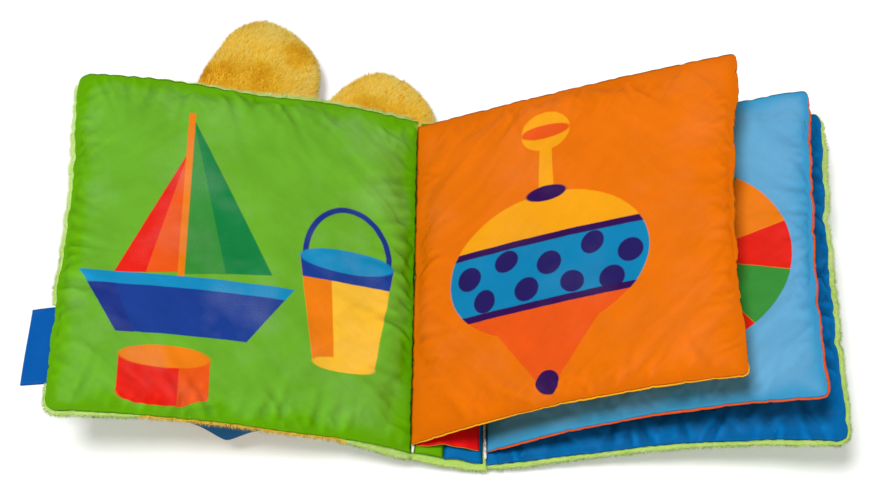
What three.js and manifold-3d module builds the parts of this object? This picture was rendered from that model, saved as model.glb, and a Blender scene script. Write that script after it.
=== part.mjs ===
// A padded cloth book for a baby, lying open, with a stuffed head and a rattle on its front cover.
// Millimetres, +Z up. X runs across the open book, Y from the reader to the far edge.
import * as THREE from 'three';
import { mergeVertices } from 'three/addons/utils/BufferGeometryUtils.js';
import Module from 'manifold-3d';

// Covers and spine
const coverHeight = 160;
const coverWidth = 148;
const coverCorner = 12;
const coverSideDrawIn = 4;
const coverEndDrawIn = 2.5;
const coverLoftUp = 3.5;
const coverLoftDown = 4;
const spineWidth = 29;
const spineRise = 5.5;
const spineLoft = 1.6;
const spineSeam = 12.5;
const frontTilts = [25, 13, 2];
const frontTwist = 0;
const backTilts = [3, 24, 3];
const backTwist = 5;

// Leaves and the gutter strip between them; the leaves stay inside the covers' edges
const leafSideGap = 4.5;
const leafEndGap = 5;
const leafHeight = coverHeight - 2 * leafSideGap;
const leafWidth = coverWidth - leafEndGap;
const leafCorner = 8;
const leafSideDrawIn = 2.5;
const leafEndDrawIn = 2.5;
const leafLoft = 2.4;
const leafRootInset = 2;
const bindingWidth = 6;
const leaf1Tilts = [32, 27, 18];
const leaf1Twist = 3;
const leaf2Tilts = [30, 19, 9];
const leaf2Twist = 8;
const gutterLeftInset = 1;
const gutterRightInset = 2.5;

// Cloth layers
const fabric = 0.7;
const plush = 3;
const plushRim = 2.2;
const coverSeamWadding = 2;
const leafSeamWadding = 1;
const threadWidth = 0.7;
const clearance = 0.3;
const softClearance = 0.6;

// Stuffed head, its middle given from the middle of the front cover
const headTowardsSpine = 10;
const headU = coverWidth / 2 - headTowardsSpine;
const headV = 5;
const headHalfWidth = 58;
const headSideGap = 5;
const headHalfHeight = coverHeight / 2 - headSideGap;
const headDepth = 45;
const headTilt = 10.7;
const headRoundness = 2.2;
const headSkin = 2.5;
const stuffingEdge = 1;
const patch = 0.8;
const patchInset = 0.2;
const muzzleRadii = [26, 20];
const muzzleDrop = 16;
const noseRadii = [8, 6];
const noseDrop = 8;
const eyeRadii = [4.5, 6];
const eyeSpacing = 36;
const eyeLift = 20;

// Ears: each root lies across from the head's middle, inset from the top of the head
const earSkin = 2;
const earNeck = 0.72;
const earWidest = 0.5;
const leftEarAcross = -23;
const leftEarInset = 23.4;
const leftEarLean = 2.6;
const leftEarLength = 71;
const leftEarWidth = 52;
const leftEarDepth = 17;
const leftEarRootZ = 12;
const leftEarTipZ = 10;
const rightEarAcross = 31.2;
const rightEarInset = 21.3;
const rightEarLean = 3;
const rightEarLength = 57;
const rightEarWidth = 46;
const rightEarDepth = 11;
const rightEarRootZ = 6;
const rightEarTipZ = 8;

// Scarf flap under the chin, and ribbon tag at the outer seam
const scarfWidth = 44;
const scarfInset = 2;
const scarfDrop = 16;
const scarfWave = 1.2;
const scarfCloth = 0.8;
const scarfTip = 1.4;
const tagLength = 34;
const tagReach = 12;
const tagCornerGap = 33;
const tagV = tagCornerGap - coverHeight / 2;
const tagRibbon = 0.45;
const tagSlit = 0.6;

// Rattle, given from the head's middle and kept off the side of the head
const rattleRadius = 20;
const rattleSideGap = 11;
const rattleAcross = rattleRadius + rattleSideGap - headHalfWidth;
const rattleUp = -8;
const rattleWall = 1.5;
const rattleBaseHeight = 9;
const rattleLidHeight = 5;
const beadRadius = 3.2;
const beadRing = 10.5;
const beadCount = 4;

// Power that keeps a pad's crown full towards its seams
const swellPower = 2.6;

// Mesh fineness
const pathSteps = 64;
const straightColumns = 8;
const cornerColumns = 3;
const panelRows = 8;
const headSectors = 28;
const headRings = 6;
const earSectors = 12;
const earRings = 8;
const spineColumns = 3;
const leastColumn = 1;
const scarfColumns = 12;
const scarfRows = 5;
const foldSegments = 6;
const beadSegments = 8;
const beadRows = 6;
const roundSegments = 24;

// Layer heights at a stitch line, above the underside of the plush
const waddingMid = plush + clearance + coverSeamWadding / 2;
const liningTop = waddingMid + coverSeamWadding / 2 + clearance + fabric;
const leafHalfSeam = leafSeamWadding / 2 + clearance + fabric;
const leftStitchX = -spineWidth / 2;
const rightStitchX = spineWidth / 2;
const slit = threadWidth / 2 + clearance;

const wasm = await Module();
wasm.setup();

const radians = THREE.MathUtils.degToRad;

// A panel leaves its root to the left (side -1) or right (side 1) and bends upwards by its three tilts
class Panel {
  constructor({ x, z, side, tilts, width, height, corner = 0, sideDrawIn = 0, endDrawIn = 0, twist = 0 }) {
    Object.assign(this, { side, width, height, corner, sideDrawIn, endDrawIn, twist });
    this.tilts = tilts.map(radians);
    this.step = width / pathSteps;
    this.path = [{ x, z }];
    for (let i = 0; i < pathSteps; i += 1) {
      const angle = this.tilt((i + 0.5) * this.step);
      const last = this.path[i];
      const run = side * Math.cos(angle) * this.step;
      this.path.push({ x: last.x + run, z: last.z + Math.sin(angle) * this.step });
    }
  }

  tilt(u) {
    const t = THREE.MathUtils.clamp(u / this.width, 0, 1);
    const [root, middle, tip] = this.tilts;
    return root * (1 - t) ** 2 + 2 * middle * t * (1 - t) + tip * t ** 2;
  }

  // Point at distance u from the root, v along the stitch and w above the middle of the padding
  point(u, v, w) {
    const index = THREE.MathUtils.clamp(Math.floor(u / this.step), 0, pathSteps - 1);
    const angle = this.tilt(u);
    const run = u - index * this.step;
    const base = this.path[index];
    const x = base.x + this.side * (Math.cos(angle) * run - Math.sin(angle) * w);
    const z = base.z + Math.sin(angle) * run + Math.cos(angle) * w;
    const share = u / this.width;
    return new THREE.Vector3(x, v, z - this.twist * (2 * v / this.height) * share ** 2);
  }

  // Half the panel's height at distance u, drawn in between its rounded corners
  half(u) {
    const share = THREE.MathUtils.clamp(u / this.width, 0, 1);
    const into = Math.max(0, u - (this.width - this.corner));
    const cut = this.corner - Math.sqrt(Math.max(0, this.corner ** 2 - into ** 2));
    return this.height / 2 - this.sideDrawIn * 4 * share * (1 - share) - cut;
  }

  // Distance of a column at row share b, with the outer end drawn in between its corners
  drawn(u, b) {
    return u - this.endDrawIn * (u / this.width) ** 2 * Math.max(0, 1 - b ** 2);
  }

  // Share of the full crown: none at the seams, all of it in the middle
  swell(u, b) {
    const a = THREE.MathUtils.clamp((2 * u) / this.width - 1, -1, 1);
    const across = THREE.MathUtils.clamp(b, -1, 1);
    return (1 - Math.abs(a) ** swellPower) * (1 - Math.abs(across) ** swellPower);
  }

  columns(from) {
    const straight = this.width - this.corner - from;
    const list = [];
    for (let i = 0; i <= straightColumns; i += 1) {
      list.push(from + straight * (1 - Math.cos((Math.PI / 2) * (i / straightColumns))));
    }
    for (let i = 1; i <= cornerColumns; i += 1) {
      list.push(this.width - this.corner + this.corner * Math.sin((Math.PI / 2) * (i / cornerColumns)));
    }
    return list;
  }
}

// Grid of points on one side of a layer; the plush reaches past the seam by its rim
function surface(panel, columns, height, { sideRim = 0, endRim = 0, floor = -Infinity } = {}) {
  const shares = [];
  for (let j = 0; j <= panelRows; j += 1) {
    shares.push(Math.sin((Math.PI / 2) * ((2 * j) / panelRows - 1)));
  }
  const place = (u, v, b) => {
    const drawn = panel.drawn(u, b);
    const point = panel.point(drawn, v, height(u, b));
    point.z = Math.max(point.z, floor);
    return point;
  };
  const list = endRim > 0 ? [...columns, columns.at(-1) + endRim] : columns;
  return list.map((u) => {
    const half = panel.half(Math.min(u, panel.width));
    const row = shares.map((b) => place(u, b * half, b));
    if (sideRim > 0) {
      row.unshift(place(u, -half - sideRim, -1));
      row.push(place(u, half + sideRim, 1));
    }
    return row;
  });
}

function meshGeometry(points, faces) {
  const geometry = new THREE.BufferGeometry();
  geometry.setAttribute('position', new THREE.Float32BufferAttribute(points.flatMap((p) => p.toArray()), 3));
  geometry.setIndex(faces);
  return geometry;
}

// Closed solid between two grids of the same size; mirrored where the grid runs to the left
function slab(top, bottom, mirrored = false) {
  const columns = top.length;
  const rows = top[0].length;
  const faces = [];
  const upper = (i, j) => i * rows + j;
  const lower = (i, j) => columns * rows + i * rows + j;
  const quad = (a, b, c, d) => {
    const corners = mirrored ? [a, c, b, a, d, c] : [a, b, c, a, c, d];
    faces.push(...corners);
  };
  const lastColumn = columns - 1;
  const lastRow = rows - 1;
  for (let i = 0; i < lastColumn; i += 1) {
    for (let j = 0; j < lastRow; j += 1) {
      quad(upper(i, j), upper(i + 1, j), upper(i + 1, j + 1), upper(i, j + 1));
      quad(lower(i, j), lower(i, j + 1), lower(i + 1, j + 1), lower(i + 1, j));
    }
    quad(lower(i, 0), lower(i + 1, 0), upper(i + 1, 0), upper(i, 0));
    quad(upper(i, lastRow), upper(i + 1, lastRow), lower(i + 1, lastRow), lower(i, lastRow));
  }
  for (let j = 0; j < lastRow; j += 1) {
    quad(lower(0, j + 1), lower(0, j), upper(0, j), upper(0, j + 1));
    quad(lower(lastColumn, j), lower(lastColumn, j + 1), upper(lastColumn, j + 1), upper(lastColumn, j));
  }
  return meshGeometry([...top.flat(), ...bottom.flat()], faces);
}

// Layer of cloth between two heights, kept above the table where a floor is given
function layer(panel, columns, from, to, { floor = -Infinity, thickness = 0, ...rims } = {}) {
  const bottom = surface(panel, columns, from, { ...rims, floor });
  const top = surface(panel, columns, to, { ...rims, floor: floor + thickness });
  return slab(top, bottom, panel.side < 0);
}

function toSolid(geometry) {
  const bare = geometry.clone();
  bare.deleteAttribute('normal');
  bare.deleteAttribute('uv');
  const merged = mergeVertices(bare, 1e-4);
  const vertProperties = new Float32Array(merged.attributes.position.array);
  const triVerts = new Uint32Array(merged.index.array);
  return new wasm.Manifold(new wasm.Mesh({ numProp: 3, vertProperties, triVerts }));
}

function toGeometry(solid) {
  const { vertProperties, triVerts } = solid.getMesh();
  const geometry = new THREE.BufferGeometry();
  geometry.setAttribute('position', new THREE.BufferAttribute(new Float32Array(vertProperties), 3));
  geometry.setIndex(new THREE.BufferAttribute(new Uint32Array(triVerts), 1));
  return geometry;
}

// Cuts one tool after another, so that each cut is exact before the next
function cut(geometry, ...tools) {
  return tools.reduce((shape, tool) => toGeometry(toSolid(shape).subtract(toSolid(tool))), geometry);
}

const book = new THREE.Group();

function add(name, geometry, colour, { roughness = 0.85, metalness = 0, parent = book } = {}) {
  const material = new THREE.MeshStandardMaterial({ color: colour, roughness, metalness });
  const mesh = new THREE.Mesh(geometry, material);
  mesh.name = name;
  parent.add(mesh);
  return mesh;
}

const colours = {
  lightPlush: 0xa8cc5a,
  greenLining: 0x6bb032,
  blueLining: 0x0d5a99,
  wadding: 0xf2f0ea,
  thread: 0xf4f2ee,
  orangePage: 0xee740e,
  amber: 0xf4a012,
  skyPage: 0x6ea9d2,
  orangeRed: 0xe25a1e,
  red: 0xc10915,
  goldPlush: 0xeaba48,
  cream: 0xf3e3c2,
  brown: 0x4a2c1c,
  scarfBlue: 0x116ea7,
  tagBlue: 0x0059ac,
  rattleShell: 0xf5f5f0,
  bead: 0xd84a3a,
};

// Covers: plush outside, wadding with its crown, lining inside
const coverShape = {
  width: coverWidth,
  height: coverHeight,
  corner: coverCorner,
  sideDrawIn: coverSideDrawIn,
  endDrawIn: coverEndDrawIn,
};
const frontCover = new Panel({
  ...coverShape,
  x: leftStitchX,
  z: spineRise + waddingMid,
  side: -1,
  tilts: frontTilts,
  twist: frontTwist,
});
const backCover = new Panel({
  ...coverShape,
  x: rightStitchX,
  z: waddingMid,
  side: 1,
  tilts: backTilts,
  twist: backTwist,
});

function paddedHeights(panel, seam, loftUp, loftDown) {
  const waddingTop = (u, b) => seam / 2 + loftUp * panel.swell(u, b);
  const waddingBottom = (u, b) => -seam / 2 - loftDown * panel.swell(u, b);
  return { waddingTop, waddingBottom };
}

function raised(height, by) {
  return (u, b) => height(u, b) + by;
}

// The inner corner of a tilted cover leans over its stitch line, so the cover starts a little way out
function coverStart(panel) {
  return slit + Math.tan(panel.tilts[0]) * (coverSeamWadding / 2 + clearance + fabric);
}

function addCover(name, panel, liningColour, floor) {
  const { waddingTop, waddingBottom } = paddedHeights(panel, coverSeamWadding, coverLoftUp, coverLoftDown);
  const columns = panel.columns(coverStart(panel));
  const rims = { sideRim: plushRim, endRim: plushRim };
  const plushTop = raised(waddingBottom, -clearance);
  const plushBottom = raised(plushTop, -plush);
  const liningBottom = raised(waddingTop, clearance);
  const liningUpper = raised(liningBottom, fabric);
  add(`${name}_plush`, layer(panel, columns, plushBottom, plushTop, { ...rims, floor, thickness: plush }),
    colours.lightPlush, { roughness: 1 });
  const waddingFloor = floor + plush + clearance;
  add(`${name}_wadding`, layer(panel, columns, waddingBottom, waddingTop, { floor: waddingFloor }),
    colours.wadding, { roughness: 1 });
  add(`${name}_lining`, layer(panel, columns, liningBottom, liningUpper), liningColour);
  return { underside: plushBottom, inside: liningUpper };
}

const backCoverHeights = addCover('back_cover', backCover, colours.blueLining, 0);
const frontUnderside = addCover('front_cover', frontCover, colours.greenLining, -Infinity).underside;

// Spine strip between the stitch lines, with the two linings joined along it
const spineTilt = -THREE.MathUtils.radToDeg(Math.asin(spineRise / spineWidth));
const spineRun = Math.hypot(spineWidth * Math.cos(radians(spineTilt)), spineRise);
const spine = new Panel({
  x: leftStitchX,
  z: spineRise + waddingMid,
  side: 1,
  tilts: [spineTilt, spineTilt, spineTilt],
  width: spineRun,
  height: coverHeight,
});

// Heights of the gutter strip's two cloths over the crown of the spine's lining
const gutterUnderBottom = (u) => liningTop - waddingMid + spineLoft * spine.swell(u, 0) + clearance;
const gutterUnderTop = raised(gutterUnderBottom, fabric);
const gutterTopBottom = raised(gutterUnderTop, clearance);
const gutterTopTop = raised(gutterTopBottom, fabric);

{
  const { waddingTop, waddingBottom } = paddedHeights(spine, coverSeamWadding, spineLoft, 0);
  const stops = (from, to) => {
    return Array.from({ length: spineColumns + 1 }, (_, i) => from + ((to - from) * i) / spineColumns);
  };
  const greenSide = stops(slit, spineSeam - clearance / 2);
  const blueSide = stops(spineSeam + clearance / 2, spineRun - slit);
  const columns = [...greenSide, ...blueSide];
  const plushTop = raised(waddingBottom, -clearance);
  const plushBottom = raised(plushTop, -plush);
  const liningBottom = raised(waddingTop, clearance);
  const liningUpper = raised(liningBottom, fabric);
  add('spine_plush', layer(spine, columns, plushBottom, plushTop, { sideRim: plushRim }), colours.lightPlush,
    { roughness: 1 });
  add('spine_wadding', layer(spine, columns, waddingBottom, waddingTop), colours.wadding, { roughness: 1 });
  add('spine_lining_green', layer(spine, greenSide, liningBottom, liningUpper), colours.greenLining);
  add('spine_lining_blue', layer(spine, blueSide, liningBottom, liningUpper), colours.blueLining);

  // Gutter strip of two cloths, as tall as the leaves, over the spine's crown
  const strip = new Panel({
    x: leftStitchX,
    z: spineRise + waddingMid,
    side: 1,
    tilts: [spineTilt, spineTilt, spineTilt],
    width: spineRun,
    height: leafHeight,
  });
  const stripEnd = spineRun - gutterRightInset;
  const inner = columns.filter((u) => u > gutterLeftInset + leastColumn && u < stripEnd - leastColumn);
  const stripColumns = [gutterLeftInset, ...inner, stripEnd];
  add('gutter_under', layer(strip, stripColumns, gutterUnderBottom, gutterUnderTop), colours.amber);
  add('gutter_top', layer(strip, stripColumns, gutterTopBottom, gutterTopTop), colours.red);
}

// Top-stitch threads lie in the slits between the spine and the covers
function addThread(name, x, underside) {
  const bar = new THREE.BoxGeometry(threadWidth, coverHeight - 2 * plushRim, threadWidth);
  const thread = add(name, bar, colours.thread, { roughness: 0.7 });
  thread.position.set(x, 0, underside + liningTop - threadWidth / 2);
}
addThread('left_stitch', leftStitchX, spineRise);
addThread('right_stitch', rightStitchX, 0);

// Leaves: print on top, wadding with its crown, plain cloth underneath, and a flat binding at the root.
// The inner lower edge of the binding rests on what lies under it by its stitch line.
function addLeaf(name, stitchX, seat, tilts, twist, printColour, backColour) {
  const rootTilt = radians(tilts[0]);
  const edgeRun = leafRootInset * Math.cos(rootTilt) + leafHalfSeam * Math.sin(rootTilt);
  const edgeRise = leafRootInset * Math.sin(rootTilt) - leafHalfSeam * Math.cos(rootTilt);
  const panel = new Panel({
    x: stitchX,
    z: seat(edgeRun) + clearance - edgeRise,
    side: 1,
    tilts,
    twist,
    width: leafWidth,
    height: leafHeight,
    corner: leafCorner,
    sideDrawIn: leafSideDrawIn,
    endDrawIn: leafEndDrawIn,
  });
  const { waddingTop, waddingBottom } = paddedHeights(panel, leafSeamWadding, leafLoft, leafLoft);
  const printBottom = raised(waddingTop, clearance);
  const printTop = raised(printBottom, fabric);
  const backTop = raised(waddingBottom, -clearance);
  const backBottom = raised(backTop, -fabric);
  const columns = panel.columns(bindingWidth + clearance);
  const bindingColumns = [leafRootInset, (leafRootInset + bindingWidth) / 2, bindingWidth];
  add(`${name}_binding`, layer(panel, bindingColumns, backBottom, printTop), backColour);
  add(`${name}_back`, layer(panel, columns, backBottom, backTop), backColour);
  add(`${name}_wadding`, layer(panel, columns, waddingBottom, waddingTop), colours.wadding, { roughness: 1 });
  add(`${name}_print`, layer(panel, columns, printBottom, printTop), printColour, { roughness: 0.7 });
}
const gutterSeat = (u) => spine.point(u, 0, gutterTopTop(u)).z;
const backCoverSeat = (u) => backCover.point(u, 0, backCoverHeights.inside(u, 0)).z;
addLeaf('leaf_1', leftStitchX, gutterSeat, leaf1Tilts, leaf1Twist, colours.orangePage, colours.amber);
addLeaf('leaf_2', rightStitchX, backCoverSeat, leaf2Tilts, leaf2Twist, colours.skyPage, colours.orangeRed);

// Stuffed head under the front cover: a dome of plush flattened where it stands, open towards the cover
const headTurn = radians(headTilt);

function underCover(u, v, drop) {
  const b = v / frontCover.half(u);
  return frontCover.point(u, v, frontUnderside(u, b) - drop);
}

// Place on the head from its own middle: across to the right and up towards the ears
function headPlace(across, up) {
  const u = headU - across * Math.cos(headTurn) - up * Math.sin(headTurn);
  const v = headV - across * Math.sin(headTurn) + up * Math.cos(headTurn);
  return { u, v };
}

function roundPower(value) {
  return Math.sign(value) * Math.abs(value) ** (2 / headRoundness);
}

// Rings of points on the head's outside, inset by a margin, from its lowest point out to its rim
function headRing(ring, margin, dome, edge = 0) {
  const phase = (Math.PI / 2) * (ring / headRings);
  const reach = roundPower(Math.sin(phase));
  const depth = dome ? Math.max(edge, (headDepth - margin) * roundPower(Math.cos(phase))) : 0;
  const points = [];
  for (let s = 0; s < headSectors; s += 1) {
    const angle = (2 * Math.PI * s) / headSectors;
    const across = (headHalfWidth - margin) * reach * roundPower(Math.cos(angle));
    const up = (headHalfHeight - margin) * reach * roundPower(Math.sin(angle));
    const { u, v } = headPlace(across, up);
    const point = underCover(u, v, softClearance);
    point.z = Math.max(point.z - depth, margin);
    points.push(point);
  }
  return points;
}

// Closed solid from a chain of rings whose first and last rings shrink to their middle points.
// From the ring where the chain turns back, its faces are split the other way, so nested forms match.
function ringSolid(rings, first, last, turn = rings.length) {
  const count = rings[0].length;
  const points = [first, ...rings.flat(), last];
  const at = (ring, s) => 1 + ring * count + (s % count);
  const end = points.length - 1;
  const faces = [];
  for (let s = 0; s < count; s += 1) {
    faces.push(0, at(0, s + 1), at(0, s));
    for (let ring = 0; ring < rings.length - 1; ring += 1) {
      const near = [at(ring, s), at(ring, s + 1)];
      const far = [at(ring + 1, s), at(ring + 1, s + 1)];
      if (ring < turn) {
        faces.push(near[0], near[1], far[0], near[1], far[1], far[0]);
      } else {
        faces.push(near[0], near[1], far[1], near[0], far[1], far[0]);
      }
    }
    faces.push(at(rings.length - 1, s), at(rings.length - 1, s + 1), end);
  }
  return meshGeometry(points, faces);
}

function headShell(margin, dome, edge) {
  return Array.from({ length: headRings }, (_, i) => headRing(i + 1, margin, dome, edge));
}

function headMiddle(margin, dome) {
  return headRing(0, margin, dome)[0];
}

const headSkinRings = [...headShell(0, true), ...headShell(headSkin, true).reverse()];
let headSkinShape = ringSolid(headSkinRings, headMiddle(0, true), headMiddle(headSkin, true), headRings);

// Patches of the face lie in shallow recesses in the flat of the head
function ellipse(radii, grow = 0) {
  const curve = new THREE.EllipseCurve(0, 0, radii[0] + grow, radii[1] + grow, 0, 2 * Math.PI);
  return curve.getPoints(roundSegments).slice(0, -1);
}

function faceFrame(across, up) {
  const { u, v } = headPlace(across, up);
  const group = new THREE.Group();
  group.position.set(underCover(u, v, 0).x, v, 0);
  group.rotation.z = -headTurn;
  group.updateMatrix();
  return group;
}

function patchShape(radii, hole) {
  const shape = new THREE.Shape(ellipse(radii));
  if (hole) {
    const path = new THREE.Path(ellipse(hole.radii, clearance).map((p) => p.add(hole.offset)).reverse());
    shape.holes.push(path);
  }
  const geometry = new THREE.ExtrudeGeometry(shape, { depth: patch, bevelEnabled: false });
  return geometry.translate(0, 0, patchInset);
}

function patchRecess(frame, radii) {
  const depth = patchInset + patch + clearance;
  const shape = new THREE.Shape(ellipse(radii, clearance));
  const tool = new THREE.ExtrudeGeometry(shape, { depth: 2 * depth, bevelEnabled: false });
  return tool.translate(0, 0, -depth).applyMatrix4(frame.matrix);
}

const muzzleFrame = faceFrame(0, -muzzleDrop);
const noseFrame = faceFrame(0, -noseDrop);
const eyeFrames = [-1, 1].map((side) => faceFrame((side * eyeSpacing) / 2, eyeLift));
const noseOffset = new THREE.Vector3().subVectors(noseFrame.position, muzzleFrame.position);
noseOffset.applyAxisAngle(new THREE.Vector3(0, 0, 1), headTurn);
headSkinShape = cut(headSkinShape, patchRecess(muzzleFrame, muzzleRadii),
  ...eyeFrames.map((frame) => patchRecess(frame, eyeRadii)));
add('head_skin', headSkinShape, colours.goldPlush, { roughness: 1 });
const noseHole = { radii: noseRadii, offset: new THREE.Vector2(noseOffset.x, noseOffset.y) };
add('muzzle', patchShape(muzzleRadii, noseHole), colours.cream, { parent: muzzleFrame });
add('nose', patchShape(noseRadii), colours.brown, { parent: noseFrame });
eyeFrames.forEach((frame, i) => {
  add(i === 0 ? 'eye_left' : 'eye_right', patchShape(eyeRadii), colours.brown, { parent: frame });
});
book.add(muzzleFrame, noseFrame, ...eyeFrames);

// Rattle case in a pocket of the stuffing, square to the cover above it
const rattle = new THREE.Group();
const rattleHeight = rattleBaseHeight + clearance + rattleLidHeight;
const rattlePlace = headPlace(rattleAcross, rattleUp);
rattle.position.copy(underCover(rattlePlace.u, rattlePlace.v, 2 * softClearance + rattleHeight));
rattle.rotation.y = frontCover.tilt(rattlePlace.u);
rattle.updateMatrix();
book.add(rattle);

function lathe(profile) {
  const geometry = new THREE.LatheGeometry(profile.map(([r, z]) => new THREE.Vector2(r, z)), roundSegments);
  return geometry.rotateX(Math.PI / 2);
}

function caseHalf(height) {
  const inner = rattleRadius - rattleWall;
  const profile = [[0, 0], [rattleRadius, 0], [rattleRadius, height], [inner, height], [inner, rattleWall],
    [0, rattleWall]];
  return lathe(profile);
}

add('rattle_case_base', caseHalf(rattleBaseHeight), colours.rattleShell, { roughness: 0.45, parent: rattle });
const lid = add('rattle_case_lid', caseHalf(rattleLidHeight), colours.rattleShell,
  { roughness: 0.45, parent: rattle });
lid.rotation.x = Math.PI;
lid.position.z = rattleHeight;
for (let i = 0; i < beadCount; i += 1) {
  const angle = (2 * Math.PI * (i + 0.5)) / beadCount;
  const ball = new THREE.SphereGeometry(beadRadius, beadSegments, beadRows);
  const bead = add(`rattle_bead_${i + 1}`, ball, colours.bead, { roughness: 0.35, parent: rattle });
  const beadZ = rattleWall + clearance + beadRadius;
  bead.position.set(beadRing * Math.cos(angle), beadRing * Math.sin(angle), beadZ);
}

const stuffingMargin = headSkin + softClearance;
const stuffingTop = headShell(stuffingMargin, false).reverse();
const stuffingRings = [...headShell(stuffingMargin, true, stuffingEdge), ...stuffingTop];
const stuffingEnds = [true, false].map((dome) => headMiddle(stuffingMargin, dome));
const stuffing = ringSolid(stuffingRings, ...stuffingEnds);
const pocketRadius = rattleRadius + clearance;
const pocket = lathe([[0, -clearance], [pocketRadius, -clearance], [pocketRadius, 2 * rattleHeight],
  [0, 2 * rattleHeight]]);
add('head_stuffing', cut(stuffing, pocket.applyMatrix4(rattle.matrix)), colours.wadding, { roughness: 1 });

// The ears are cut back from the space of the head and from what lies over them: the cover and the spine
const headSpaceRings = [...headShell(-softClearance, true), ...headShell(-softClearance, false).reverse()];
const headSpaceEnds = [true, false].map((dome) => headMiddle(-softClearance, dome));
const headSpace = ringSolid(headSpaceRings, ...headSpaceEnds);

function spaceOver(panel, columns, underside, endRim) {
  const rims = { sideRim: plushRim + softClearance, endRim };
  return layer(panel, columns, raised(underside, -softClearance), raised(underside, coverHeight), rims);
}

const coverSpace = spaceOver(frontCover, frontCover.columns(0), frontUnderside, plushRim + softClearance);
const spineSpace = spaceOver(spine, [-plush, spineRun], () => -waddingMid, 0);

// An ear swells from its root and rounds off at its tip; rings run along its length.
// The hollow of its skin starts behind the root, so the skin is open there.
function earForm(ear, margin, root = 0) {
  const rings = [];
  const length = ear.length - margin - root;
  const ringPoint = (share, angle) => {
    const past = Math.max(0, (share - earWidest) / (1 - earWidest));
    const round = Math.sqrt(Math.max(0, 1 - past ** 2));
    const neck = earNeck + (1 - earNeck) * Math.sin((Math.PI / 2) * Math.min(share / earWidest, 1));
    const across = (ear.width / 2 - margin) * round * neck * Math.cos(angle);
    const lift = (ear.depth / 2 - margin) * round * neck * Math.sin(angle);
    const middle = ear.rootZ + (ear.tipZ - ear.rootZ) * share;
    return new THREE.Vector3(across, root + length * share, middle + lift);
  };
  for (let ring = 0; ring < earRings; ring += 1) {
    const share = Math.sin((Math.PI / 2) * (ring / earRings));
    const row = [];
    for (let s = 0; s < earSectors; s += 1) {
      row.push(ringPoint(share, (-2 * Math.PI * s) / earSectors));
    }
    rings.push(row);
  }
  return ringSolid(rings, new THREE.Vector3(0, root, ear.rootZ), ringPoint(1, 0));
}

const ears = [
  {
    name: 'ear_left',
    across: leftEarAcross,
    inset: leftEarInset,
    lean: leftEarLean,
    length: leftEarLength,
    width: leftEarWidth,
    depth: leftEarDepth,
    rootZ: leftEarRootZ,
    tipZ: leftEarTipZ,
  },
  {
    name: 'ear_right',
    across: rightEarAcross,
    inset: rightEarInset,
    lean: rightEarLean,
    length: rightEarLength,
    width: rightEarWidth,
    depth: rightEarDepth,
    rootZ: rightEarRootZ,
    tipZ: rightEarTipZ,
  },
];
for (const ear of ears) {
  const { u, v } = headPlace(ear.across, headHalfHeight - ear.inset);
  const root = underCover(u, v, 0);
  const frame = new THREE.Matrix4().makeRotationZ(-radians(ear.lean)).setPosition(root.x, v, 0);
  const outer = earForm(ear, 0).applyMatrix4(frame);
  const hollow = earForm(ear, earSkin, -earSkin).applyMatrix4(frame);
  const filling = earForm(ear, earSkin + softClearance).applyMatrix4(frame);
  const neighbours = [headSpace, coverSpace, spineSpace];
  add(`${ear.name}_skin`, cut(outer, hollow, ...neighbours), colours.goldPlush, { roughness: 1 });
  add(`${ear.name}_stuffing`, cut(filling, ...neighbours), colours.wadding, { roughness: 1 });
}

// Scarf flap hangs from the near seam under the chin, in two soft folds, down to its point
const chin = headPlace(0, -headHalfHeight);
const scarfV = scarfInset - frontCover.half(chin.u);

function scarfGrid(offset) {
  const point = underCover(chin.u, scarfV, scarfDrop);
  const grid = [];
  for (let i = 0; i <= scarfColumns; i += 1) {
    const s = (2 * i) / scarfColumns - 1;
    const fold = scarfWave * (1 + Math.cos(2 * Math.PI * s)) / 2;
    const top = underCover(chin.u - s * (scarfWidth / 2), scarfV, softClearance);
    const tip = new THREE.Vector3(point.x + s * (scarfTip / 2), scarfV - fold, point.z);
    const line = [];
    for (let j = scarfRows; j >= 0; j -= 1) {
      const place = top.clone().lerp(tip, j / scarfRows);
      place.y -= offset;
      line.push(place);
    }
    grid.push(line);
  }
  return grid;
}
add('scarf', slab(scarfGrid(scarfCloth), scarfGrid(0)), colours.scarfBlue);

// Ribbon tag: a loop folded over and caught in the outer seam of the front cover
{
  const rimTop = -coverSeamWadding / 2 - clearance;
  const nearEnd = (tagV - tagLength / 2) / frontCover.half(coverWidth);
  const root = frontCover.drawn(coverWidth, nearEnd) + clearance;
  const thickness = 2 * tagRibbon + tagSlit;
  const bend = thickness / 2;
  const outline = new THREE.Shape();
  outline.moveTo(0, 0);
  outline.lineTo(tagReach - bend, 0);
  outline.absarc(tagReach - bend, bend, bend, -Math.PI / 2, Math.PI / 2);
  outline.lineTo(0, thickness);
  outline.lineTo(0, thickness - tagRibbon);
  outline.lineTo(tagReach - bend, thickness - tagRibbon);
  outline.absarc(tagReach - bend, bend, tagSlit / 2, Math.PI / 2, -Math.PI / 2, true);
  outline.lineTo(0, tagRibbon);
  outline.closePath();
  const settings = { depth: tagLength, bevelEnabled: false, curveSegments: foldSegments };
  const ribbon = new THREE.ExtrudeGeometry(outline, settings);
  ribbon.translate(0, 0, -tagLength / 2);
  const tag = add('label_tag', ribbon, colours.tagBlue, { roughness: 0.5 });
  const angle = frontCover.tilt(root);
  const outwards = new THREE.Vector3(-Math.cos(angle), 0, Math.sin(angle));
  const upwards = new THREE.Vector3(Math.sin(angle), 0, Math.cos(angle));
  tag.position.copy(frontCover.point(root, tagV, rimTop + clearance));
  tag.setRotationFromMatrix(new THREE.Matrix4().makeBasis(outwards, upwards, new THREE.Vector3(0, 1, 0)));
}

// The origin is under the middle of the book's box, where it lies on a table
book.updateMatrixWorld(true);
const box = new THREE.Box3().setFromObject(book);
const middle = box.getCenter(new THREE.Vector3());
book.position.set(-middle.x, -middle.y, -box.min.z);

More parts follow.
